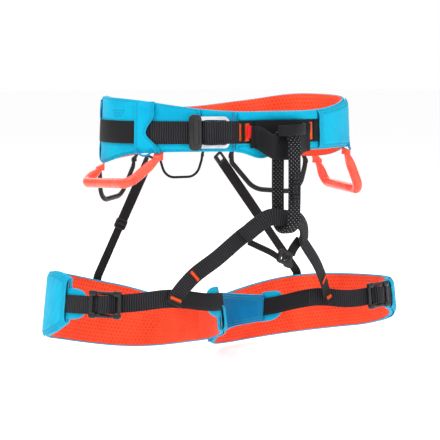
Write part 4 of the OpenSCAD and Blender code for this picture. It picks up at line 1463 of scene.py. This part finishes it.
@dataclass
class TieIn:
    """Both tie-in loops, their small straps and hook, and the belay loop between them."""

    belt: BeltSurface
    web: float = 25
    low_web: float = 20
    band: float = 2.4
    lift: float = 2.8
    patch: tuple = (-11, 14)
    patch_z: tuple = (-14.5, 12)
    height: float = 114
    depth: float = 33
    width: float = 16
    thick: float = 5
    top: float = 4
    yaw: float = 5
    centre: tuple = (-5, -131.5)
    pivot: tuple = (0, -117.5, -117)

    def low_path(self) -> np.ndarray:
        """Middle line of the lower tie-in loop."""
        _, y, z = self.pivot
        return smooth_path([(-50, y + 2, z + 4), (-36, y - 3, z + 16), (-22, y - 9, z + 25),
                            (self.centre[0], self.centre[1], z + 23.5), (12, y - 11, z + 21),
                            (24, y - 5, z + 12), (29, y, z - 4)])

    def low_faces(self, count: int) -> np.ndarray:
        """Way that the lower loop's face looks at each of its points."""
        return np.array([mix(np.array([-0.15, -1, 0.1]), np.array([0.5, -1, 0.25]), i / (count - 1))
                         for i in range(count)])

    def build(self) -> None:
        """Makes the tie-in parts."""
        low, high = self.patch_z

        def section(q: float) -> list:
            return [(mix(3.3, 3.6, math.sin(math.pi * (z - low) / (high - low))), z)
                    for z in np.linspace(low, high, 9)]
        patch = sheet_on("tie_in_backing", self.belt, np.linspace(*self.patch, 31), section, 1.1)
        dress(patch, BAND, "tie_in_band", "waist", "tie_in_patch")
        declare_sheet(patch, "stretched", "front_webbing")
        x, y = self.centre
        a, b = self.patch

        def on(q: float, o: float, z: float) -> tuple:
            return (*self.belt.plan(q, self.lift + o), z)
        path = smooth_path([on(a - 2, 3.8, -5), on(a + 1, 5, -6), (x - 15, y + 4, -15), (x - 8, y + 1, -17),
                            (x + 13, y + 3, -17), on(b - 2, 6, -11), on(b + 2, 3, -10)])
        upper = sweep("upper_tie_in_band", path, level_faces(path), strip_section(self.web, self.band, 0.25))
        dress(upper, BAND, "tie_in_band", "waist", "upper_tie_in_loop")
        cap = smooth_path([on(b + 3, 1.5, 3), on(b - 2, 3.5, 3.5), (x + 20, y - 6, 4), (x, y - 19, 3.5),
                           (x - 11, y - 16.5, 3), (x - 15, y - 8, 2.5)])
        cap = sweep("tie_in_cap", cap, level_faces(cap), strip_section(12, 2, 0.15))
        dress(cap, BAND, "tie_in_band", "waist")
        path = self.low_path()
        lower = sweep("lower_tie_in_band", path, self.low_faces(len(path)),
                      strip_section(self.low_web - 1, 3.0, 0.3))
        dress(lower, RIBBED, "tie_in_band", "waist", "lower_tie_in_loop")
        self.build_hook()
        self.build_belay()

    def build_hook(self) -> None:
        """Makes the thin straps and the plastic hook under the lower tie-in loop."""
        _, y, z = self.pivot
        hx, hy, hz = 4, y + 2, z - 21
        thin = smooth_path([(-41, y + 6, z - 2), (-28, y + 5, z - 8), (-13, y + 4, z - 15),
                            (hx - 8, hy, hz)])
        short = smooth_path([(hx + 8, hy, hz + 3), (17, y + 3, z - 11), (26, y + 5, z - 3)])
        parts = [sweep(name, path, np.tile((lean, -1, 0.3), (len(path), 1)), strip_section(*size))
                 for name, path, lean, size in (("thin", thin, 0.05, (7.5, 1.8, 0.1)),
                                                ("short", short, -0.05, (10.5, 2.6, 0.2)))]
        dress(join("keeper_strap", parts), CORD_BLACK, "webbing_smooth", "waist", "lower_tie_in_strap")
        body = plate("hook", 18.5, 16, 5.0, 4.6, 4.2, 1.3)
        parts = [body, move(plate("tongue", 11, 8.6, 4.6, 3.4, 0, 1.1), 7.2, 0, -5.4),
                 move(bar("pin", 2.2, 3.4, 9.5, 0.8), -1.4)]
        hook = join("keeper_hook", parts)
        turn = Matrix.Rotation(math.radians(22), 4, "Y")
        settle(hook, Matrix.Translation((hx * MM, hy * MM, hz * MM)) @ turn)
        dress(hook, PLASTIC, "hook_plastic", "waist", "lower_tie_in_hook")

    def build_belay(self) -> None:
        """Makes the belay loop and its sewn overlap."""
        r, h = (self.depth - self.thick) / 2, self.height / 2 - self.depth / 2
        arc = [(r * math.cos(t), h + r * math.sin(t)) for t in np.linspace(0, math.pi, 25)]
        down = [(-r - 0.5 * math.sin(math.pi * f), mix(h, -h, f)) for f in np.linspace(0, 1, 40)[1:-1]]
        ring = arc + down + [(-y, -z) for y, z in arc] + [(-y, -z) for y, z in down]
        path = np.array([(0, y, z) for y, z in ring])
        faces = np.array([(0, y, z - max(-h, min(h, z))) for y, z in ring])
        loop = sweep("belay", path, faces, strip_section(self.width, self.thick, 0.15, 5, 6), closed=True)
        middle = (self.centre[0] * MM, self.centre[1] * MM, (self.top - self.height / 2) * MM)
        seat = Matrix.Translation(middle) @ Matrix.Rotation(math.radians(self.yaw), 4, "Z")
        settle(loop, seat)
        dress(loop, SPECKLED, "belay_webbing", "belay_loop", "belay_loop")
        front = -self.depth / 2 - 0.4
        rows = []
        for k in range(9):
            z = -23 + 3.8 * k

            def here(a: float, b: float, z: float = z) -> tuple:
                return np.array([a, front - 0.2, z + b]), np.array([0, -1, 0.0])
            rows.append(zigzag("row", here, self.width - 2.6, 2.4, 9, 0.38))
        sewn = join("belay_stitching", rows)
        settle(sewn, seat)
        dress(sewn, SEWING, "belay_stitching", "belay_loop", "belay_loop_stitching")


@dataclass
class HangingLoops:
    """Four gear loops and the haul loop, with the fabric tunnels that they hang in."""

    belt: BeltSurface
    front: tuple = (55, 106)
    rear: tuple = (114, 154)
    haul: tuple = (168, 190.3)
    front_tilt: tuple = (58, 22)
    rear_tilt: float = 5
    ring_drop: float = 6.5
    front_r: float = 5.5
    rear_r: float = 3
    haul_r: float = 1.5
    front_drop: float = 47
    rear_drop: float = 38
    haul_drop: float = 26

    def frame(self, sign: int, arc: tuple, tilt: float) -> tuple:
        """Frame of a loop.

        Args:
            sign: Side of the belt.
            arc: Angles of its two ends.
            tilt: How far it stands out from hanging straight down, in degrees.

        Returns:
            First end, direction of the line of its ends, direction down it, length of the line.
        """
        a, b = (self.belt.at(sign * q, 1, self.belt.bottom(sign * q) - self.ring_drop) for q in arc)
        along = unit(b - a)
        out = unit(np.cross(along, (0, 0, 1))) * sign
        down = unit(np.array([0, 0, -1]) + along * along[2])
        turn = math.radians(tilt)
        return a, along, down * math.cos(turn) + out * math.sin(turn), float(np.linalg.norm(b - a))

    def build(self) -> None:
        """Makes all loops and tunnels."""
        tunnels, coral = [], []
        for side in Side:
            *frame, l = self.frame(side.value, self.front, self.front_tilt[side.row])
            d = self.front_drop
            outline = [(0.4, -3), (0.6, 5.5), (1.2, 9), (7, d), (l + 2, d * 0.58), (l - 0.4, 9),
                       (l - 0.2, 5.5), (l, -3)]
            made = tube_loop("front_gear_loop_" + side.word, tuple(frame), outline,
                             [0, 0, 0, 12, 10, 0, 0, 0], self.front_r, 20, 0.42)
            dress(made, CORAL, "tube_coral", "gear_loop_front_" + side.word, "gear_loop_front_" + side.word)
            coral += self.tunnels(side.value, self.front, 5.6, 5.0)
            *frame, l = self.frame(side.value, self.rear, self.rear_tilt)
            d = self.rear_drop
            outline = [(0.2, -3), (0.4, 5.5), (0.8, 8), (6, d), (l - 30, d), (l - 2, 8), (l - 1, 5.5),
                       (l - 0.4, -3)]
            made = tube_loop("rear_gear_loop_" + side.word, tuple(frame), outline,
                             [0, 0, 0, 20, 26, 0, 0, 0], self.rear_r, 14, 0.5, 0.8)
            body = "gear_loop_rear_" + side.word
            dress(made, BLACK_TUBE, "tube_black", body, body)
            tunnels += self.tunnels(side.value, self.rear, 3.2, 2.6)
        tunnels += self.tunnels(1, self.haul, 1.8, 1.7)
        dress(join("front_loop_ends", coral), CORAL, "tube_coral", "waist", "gear_loop_tabs")
        dress(join("rear_loop_ends", tunnels), BLACK_TUBE, "tube_black", "waist")
        self.build_haul()

    def build_haul(self) -> None:
        """Makes the haul loop, a cord whose two ends go back into the belt."""
        *frame, l = self.frame(1, self.haul, 0)
        d = self.haul_drop
        outline = [(0.2, -2), (1.2, 6), (8, d), (l - 8, d), (l - 1.2, 6), (l - 0.2, -2)]
        flat = even_path(rounded_path(outline, [0, 0, 17, 17, 0, 0]), 1.6)
        path = np.array([frame[0] + frame[1] * x + frame[2] * y for x, y in flat])
        made = sweep("haul_cord", path, np.tile(np.cross(frame[1], frame[2]), (len(path), 1)),
                     round_section(self.haul_r, 14), angle=60)
        dress(made, CORD_BLACK, "haul_cord", "haul_loop", "haul_loop")

    def tunnels(self, sign: int, arc: tuple, half: float, deep: float) -> list:
        """Makes the two fabric tunnels of a loop.

        Args:
            sign: Side of the belt.
            arc: Angles of its two ends.
            half: Half of a tunnel's width.
            deep: Half of its depth.

        Returns:
            The new objects.
        """
        made = []
        for q in arc:
            q *= sign
            end = self.belt.at(q, 1, self.belt.bottom(q) - self.ring_drop)
            out = self.belt.out(q)
            along = np.array([-out[1], out[0], 0])
            rings = []
            for f in np.linspace(0, 1, 15):
                z = mix(self.belt.bottom(q) + 3, end[2] - 2.0, f)
                on = self.belt.at(q, -3.8, z)
                body = ease(f, 0.25, 0.72)
                middle = mix(on + out * 0.6, np.array([end[0], end[1], z]), body)
                wide, thick = mix(half * 0.85, half, f), mix(0.6, deep, body)
                rings.append([middle + along * wide * math.copysign(abs(math.cos(t)) ** 0.6, math.cos(t))
                              + out * thick * math.copysign(abs(math.sin(t)) ** 0.8, math.sin(t))
                              for t in np.linspace(0, 2 * math.pi, 21)[:-1]])
            made.append(Loft("tunnel", np.array(rings), angle=70).build())
        return made


@dataclass
class LegLoop:
    """One padded leg loop with its sleeves, webbing, buckle and bridge strap."""

    side: Side
    tie_in: TieIn
    web: float = 20
    outer_edge: tuple = (63, 57)
    outer_tab: tuple = (46, 46)
    inner_edge: tuple = (-64, -41.5)
    inner_tab: tuple = (-42, -29.5)
    joints_at: tuple = (-14, -10.5)
    buckles_at: tuple = (31.5, 35)
    feet: tuple = (0, 7.5)
    twist: tuple = (0, 1.0)
    seams: tuple = (95, 135, 172, 208, 245, 280)
    under: float = 8

    def __post_init__(self) -> None:
        """Sets the loop's surface, name and body."""
        self.surface = LegSurface(self.side)
        self.joint_at = self.joints_at[self.side.row]
        self.buckle_at = self.buckles_at[self.side.row]
        self.body = "leg_loop_" + self.side.word
        self.tail = "_" + self.side.word

    def piece(self, obj: bpy.types.Object, finish: Finish, slot: str, *nodes: str) -> bpy.types.Object:
        """Dresses a piece of this loop; the nodes are named without their side."""
        return dress(obj, finish, slot, self.body, *(n + self.tail for n in nodes))

    def build(self) -> None:
        """Makes the leg loop."""
        row, on = self.side.row, self.surface
        start, end = self.outer_edge[row], 360 + self.inner_edge[row]
        pad = pad_on("leg_pad" + self.tail, on, start, end, 130, puff=1.4, seams=self.seams)
        self.piece(pad, ORANGE, "lining_mesh", "leg_lining", "leg_foam_core")

        def section(q: float) -> list:
            lo, hi = on.bottom(q), on.top(q)
            side = [(-0.3 + 0.15 * math.sin(q * 0.6 + z * 0.25), z) for z in np.linspace(lo + 5, hi - 5, 13)]
            return ([(-2.8, lo + 0.2), (-1.3, lo + 0.9), (-0.5, lo + 2.6)] + side
                    + [(-0.5, hi - 2.6), (-1.3, hi - 0.9), (-2.8, hi - 0.2)])
        shell = sheet_on("leg_shell" + self.tail, on, np.linspace(start, end, 131), section)
        self.piece(shell, CYAN, "shell_fabric", "leg_outer_shell")
        declare_sheet(shell, "stretched", pad.name)
        self.build_binding(start, end)
        self.build_sleeves()
        self.build_webbing()
        self.build_buckle()
        self.build_bridge()

    def build_binding(self, start: float, end: float) -> None:
        """Makes the blue binding round the pad's edge."""
        on = self.surface
        turn = np.linspace(start, end, 121)
        part = np.linspace(0, 1, 12)[1:-1]
        loop = [on.at(q, PAD_MIDDLE, on.top(q) - 0.3) for q in turn]
        loop += [on.at(end, PAD_MIDDLE, mix(on.top(end), on.bottom(end), f)) for f in part]
        loop += [on.at(q, PAD_MIDDLE, on.bottom(q) + 0.3) for q in turn[::-1]]
        loop += [on.at(start, PAD_MIDDLE, mix(on.bottom(start), on.top(start), f)) for f in part]
        path = np.array(loop)
        faces = np.array([on.out(q) for q in np.concatenate([turn, [end] * 10, turn[::-1], [start] * 10])])
        made = sweep("leg_binding" + self.tail, path, faces, round_section(0.95, 10, 1.6), closed=True,
                     angle=60)
        self.piece(made, CYAN_PLAIN, "shell_fabric")

    def build_sleeves(self) -> None:
        """Makes the sleeves over the webbing, with the round-ended tabs that run on under it."""
        on, row = self.surface, self.side.row
        for name, far, edge, tab in (("outer", 105, self.outer_edge[row], self.outer_tab[row]),
                                     ("inner", -105, self.inner_edge[row], self.inner_tab[row])):
            over = cloth_section(on, 3.4, 0.5, 7.0)
            body = sheet_on("leg_sleeve_%s%s" % (name, self.tail), on, np.linspace(edge, far, 41), over)
            # The left loop's inner sleeve gets the darker blue, as painted shade where it sits between the
            # loops.
            deep = name == "inner" and self.side is Side.LEFT
            self.piece(body, CYAN_SHADED if deep else CYAN_DOUBLE, "shell_fabric", "leg_%s_sleeve" % name)
            declare_sheet(body, "stretched", "leg_shell" + self.tail)
            root = edge + math.copysign(2.5, edge - tab)
            rings = []
            for q in np.linspace(root, tab, 31):
                f = max(0.0, (q - edge) / (tab - edge))
                half = 17 * math.sqrt(max(0.1, 1 - f ** 4)) * mix(1, 0.98, f)
                half = min(half, 17.0)
                mid = on.webbing(q)
                thick = 1.7 * math.sqrt(max(0.12, 1 - f ** 8))
                rings.append([on.at(q, -2.0 + thick * math.copysign(abs(math.sin(t)) ** 0.5, math.sin(t)),
                                    mid + half * math.copysign(abs(math.cos(t)) ** 0.8, math.cos(t)))
                              for t in np.linspace(0, 2 * math.pi, 33)[:-1]])
            made = Loft("leg_tab_%s%s" % (name, self.tail), np.array(rings), angle=60).build()
            self.piece(made, CYAN_PLAIN, "shell_fabric")

    def build_webbing(self) -> None:
        """Makes the two runs of webbing."""
        on, row = self.surface, self.side.row
        section = strip_section(self.web, 2, 0.1)
        seam = self.joint_at - 3
        run = band_on("leg_ribbed_run" + self.tail, on, seam, self.outer_edge[row] + self.under,
                      on.webbing, section, 60)
        self.piece(run, RIBBED, "webbing_ribbed", "leg_webbing")
        run = band_on("leg_smooth_run" + self.tail, on, self.inner_edge[row] - self.under, seam,
                      on.webbing, section, 40)
        self.piece(run, SMOOTH, "webbing_smooth", "leg_webbing_inner")

    def build_buckle(self) -> None:
        """Makes the leg buckle."""
        parts = Buckle(length=37, web=self.web, slider=4, hump_at=0, rail=4.1)
        seat = self.surface.seat(self.buckle_at, self.surface.webbing(self.buckle_at))
        frame_piece = parts.frame("leg_buckle" + self.tail, seat, 4.6, lumps=True)
        self.piece(frame_piece, BLACK_METAL, "leg_buckle_black", "leg_buckle_frame")
        dress(parts.bar("leg_slider_bar" + self.tail, seat), BLACK_METAL, "leg_buckle_black",
              "leg_slider" + self.tail, "leg_buckle_slider" + self.tail)
        top, low = parts.stand + parts.thick + 2.2, parts.stand + 0.7
        points = [(-11.5, -low, 0), (-8, -low - 0.3, 0), (-4.5, -top, 0), (0, -top - 0.6, 0), (4.5, -top, 0),
                  (8, -low - 0.3, 0), (11.5, -low, 0)]
        self.piece(local_strap("leg_fold" + self.tail, seat, points, self.web - 0.2, 1.9), RIBBED,
                   "webbing_ribbed")

    def build_bridge(self) -> None:
        """Makes the strap up to the lower tie-in loop, and its tacks."""
        on, row, j = self.surface, self.side.row, self.joint_at
        band = self.tie_in.low_path()
        end, near = (band[0], band[16]) if self.side is Side.RIGHT else (band[-1], band[-17])
        out = unit(end - near)
        inward = np.array([0, 2.4, 0])
        z, lift = on.webbing(j), 5.4
        foot = on.at(j + self.feet[row], lift, z)
        bends = (((0.2, (3, -2, 12)), (0.6, (0, 0, 4))), ((0.25, (0, -4, 5)), (0.6, (2, -2, 2))))[row]
        points = [on.at(j + self.feet[row] + 3, lift, z - 6), on.at(j + self.feet[row], lift + 0.3, z + 5)]
        points += [mix(foot, end, f) + np.array(shift) for f, shift in bends]
        path = smooth_path(points + [end + out * 3 + inward, end - out * 10 + inward], 10)
        low = unit(on.out(j) + np.array([self.twist[row], 0, 0]))
        high = self.tie_in.low_faces(2)[row]
        faces = np.array([mix(low, high, i / (len(path) - 1)) for i in range(len(path))])
        made = sweep("bridge_web" + self.tail, path, faces, strip_section(self.web - 2, 2, 0.15))
        dress(made, RIBBED, "webbing_ribbed", None, "leg_bridge_strap" + self.tail)
        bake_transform(made)
        tan = tangents(path)
        tacks = []
        for i in (6, 20):
            side = unit(np.cross(faces[i], tan[i]))
            face = unit(np.cross(tan[i], side))

            def here(a: float, b: float, p=path[i], t=tan[i], s=side, n=face) -> tuple:
                return p + s * b + t * a + n * 1.35, n
            tacks.append(zigzag("tack", here, 3.6, self.web * 0.66, 30))
        self.piece(join("leg_tacks" + self.tail, tacks), TACKING, "tack_thread", "leg_bar_tacks")


@dataclass
class Risers:
    """Rear risers: hook, strap, adjuster and elastic from the belt to each leg loop."""

    belt: BeltSurface
    at: float = 162
    leg_at: float = 167
    strap_from: float = 14
    adjuster: float = 13

    def build(self) -> None:
        """Makes both risers."""
        for side in Side:
            leg, q = LegSurface(side), side.value * self.at
            edge = leg.top(self.leg_at)
            start = self.belt.at(q, -6.5, self.belt.bottom(q) - 4)
            foot, end = leg.at(self.leg_at, 1.6, edge + 4), leg.at(self.leg_at, 1.6, edge - 12)
            way, long = unit(foot - start), float(np.linalg.norm(foot - start))
            mid = long * 0.52
            out = leg.out(self.leg_at)

            def seat(d: float) -> Matrix:
                x = unit(np.cross(way, (0, 1, 0)))
                y = np.cross(way, x)
                m = Matrix((x, y, way)).transposed().to_4x4()
                return Matrix.Translation(Vector(start + way * d) * MM) @ m
            hook = join("riser_hook_" + side.word, [plate("hook", 12, 13, 2.6, 2.4, 2.4, 0.9),
                                                    move(bar("neck", 9, 1.5, 2.4, 0.5), z=-5.8),
                                                    move(bar("gate", 2.2, 2.0, 7.5, 0.7), x=-2.2)])
            settle(hook, seat(7))
            block = join("riser_adjuster_" + side.word, [plate("block", 15, self.adjuster, 3.2, 3, 2.3, 1.0),
                                                         bar("rung", 11, 2.6, 2.6, 0.8)])
            settle(block, seat(mid + self.adjuster / 2))
            run = np.array([start + way * d for d in np.linspace(self.strap_from - 2, mid + 9.5, 40)])
            strap = sweep("riser_web_" + side.word, run, np.tile((0.0, 1.0, 0.0), (len(run), 1)),
                          strip_section(13, 1.9, 0.1))
            dress(strap, SMOOTH, "riser_webbing", None, "riser_strap_" + side.word)
            low = [start + way * d for d in np.linspace(mid + 4, long - 6, 30)]
            low += [foot - np.array([0, 0, 1]), mix(foot, end, 0.5), end]
            run = even_path(smooth_path(low, 3), 1.6)
            faces = np.array([mix(np.array([0.0, 1, 0]), out, ease(i / len(run), 0.2, 0.9))
                              for i in range(len(run))])
            band = sweep("riser_stretch_" + side.word, run, faces, strip_section(10.5, 1.5, 0.1))
            dress(band, CORD_BLACK, "riser_webbing", None, "riser_elastic_" + side.word)
            ends = tuple(start * MM), tuple((foot - way * 8) * MM)
            dress(hook, PLASTIC, "hook_plastic", "waist", "riser_hooks")
            dress(block, PLASTIC, "hook_plastic", None, "riser_adjusters")
            for made in (strap, block, band):
                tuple(ends[0])
                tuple(ends[1])
                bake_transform(made)


# ---- studio -------------------------------------------------------------------------------------


@dataclass
class Studio:
    """Pale floor and backdrop, soft lights and the camera."""

    azimuth: float = -32
    elevation: float = 5
    distance: float = 2.2
    lens: float = 156.5
    aim: tuple = (0.0, 0.0, -0.1075)
    lens_shift: tuple = (-3 / 220, 1 / 220)
    floor: float = -0.272

    def build(self) -> None:
        """Makes the studio."""
        scene = bpy.context.scene
        a, e = math.radians(self.azimuth), math.radians(self.elevation)
        back = Vector((math.sin(a) * math.cos(e), -math.cos(a) * math.cos(e), math.sin(e)))
        lens = bpy.data.cameras.new("Camera")
        lens.lens, lens.sensor_width = self.lens, 36
        lens.shift_x, lens.shift_y = self.lens_shift
        lens.clip_end = 20
        camera = bpy.data.objects.new("Camera", lens)
        scene.collection.objects.link(camera)
        camera.location = Vector(self.aim) + back * self.distance
        camera.rotation_euler = back.to_track_quat("Z", "Y").to_euler()
        scene.camera = camera
        self.build_floor()
        for name, turn, high, size, power in (("Key", -75, 50, 1.5, 23), ("Fill", 10, 25, 2.2, 15),
                                              ("Top", 0, 88, 2.0, 14), ("Back", 160, 35, 1.8, 12)):
            light = bpy.data.lights.new(name, "AREA")
            light.size, light.energy = size, power
            lamp = bpy.data.objects.new(name, light)
            scene.collection.objects.link(lamp)
            t, h = math.radians(turn), math.radians(high)
            away = Vector((math.sin(t) * math.cos(h), -math.cos(t) * math.cos(h), math.sin(h)))
            lamp.location = Vector(self.aim) + away * 2.0
            lamp.rotation_euler = away.to_track_quat("Z", "Y").to_euler()
        world = bpy.data.worlds.new("Studio")
        world.use_nodes = True
        g = Graph(world.node_tree)
        world.node_tree.nodes.clear()
        seen = g.node("Background", {"Color": (1, 1, 1, 1), "Strength": 1.0}).outputs[0]
        soft = g.node("Background", {"Color": (1, 1, 1, 1), "Strength": 0.6}).outputs[0]
        both = g.node("MixShader", {0: g.node("LightPath").outputs["Is Camera Ray"], 1: soft, 2: seen})
        g.put(both.outputs[0], g.node("OutputWorld").inputs[0])
        scene.world = world
        scene.view_settings.view_transform = "Standard"

    def build_floor(self) -> None:
        """Makes the pale floor."""
        deselect()
        bpy.ops.mesh.primitive_plane_add(size=30, location=(0, 0, self.floor))
        floor = bpy.context.view_layer.objects.active
        floor.name = "floor"
        pale = bpy.data.materials.new("Pale floor")
        pale.use_nodes = True
        shader = pale.node_tree.nodes["Principled BSDF"].inputs
        shader["Base Color"].default_value, shader["Roughness"].default_value = (0.85, 0.85, 0.85, 1), 0.9
        shader["Emission Color"].default_value, shader["Emission Strength"].default_value = (1, 1, 1, 1), 0.46
        floor.data.materials.append(pale)


# ---- run ----------------------------------------------------------------------------------------


def main() -> None:
    """Builds the studio and every sub-assembly.
    """
    logging.basicConfig(level=logging.INFO, format="%(name)s: %(message)s")
    Studio().build()
    belt = BeltSurface()
    tie_in = TieIn(belt)
    HangingLoops(belt).build()
    WaistPad(belt).build()
    WaistStraps(belt).build()
    WaistBuckle(belt).build()
    tie_in.build()
    for side in Side:
        LegLoop(side, tie_in).build()
    Risers(belt).build()


if __name__ == "__main__":
    main()
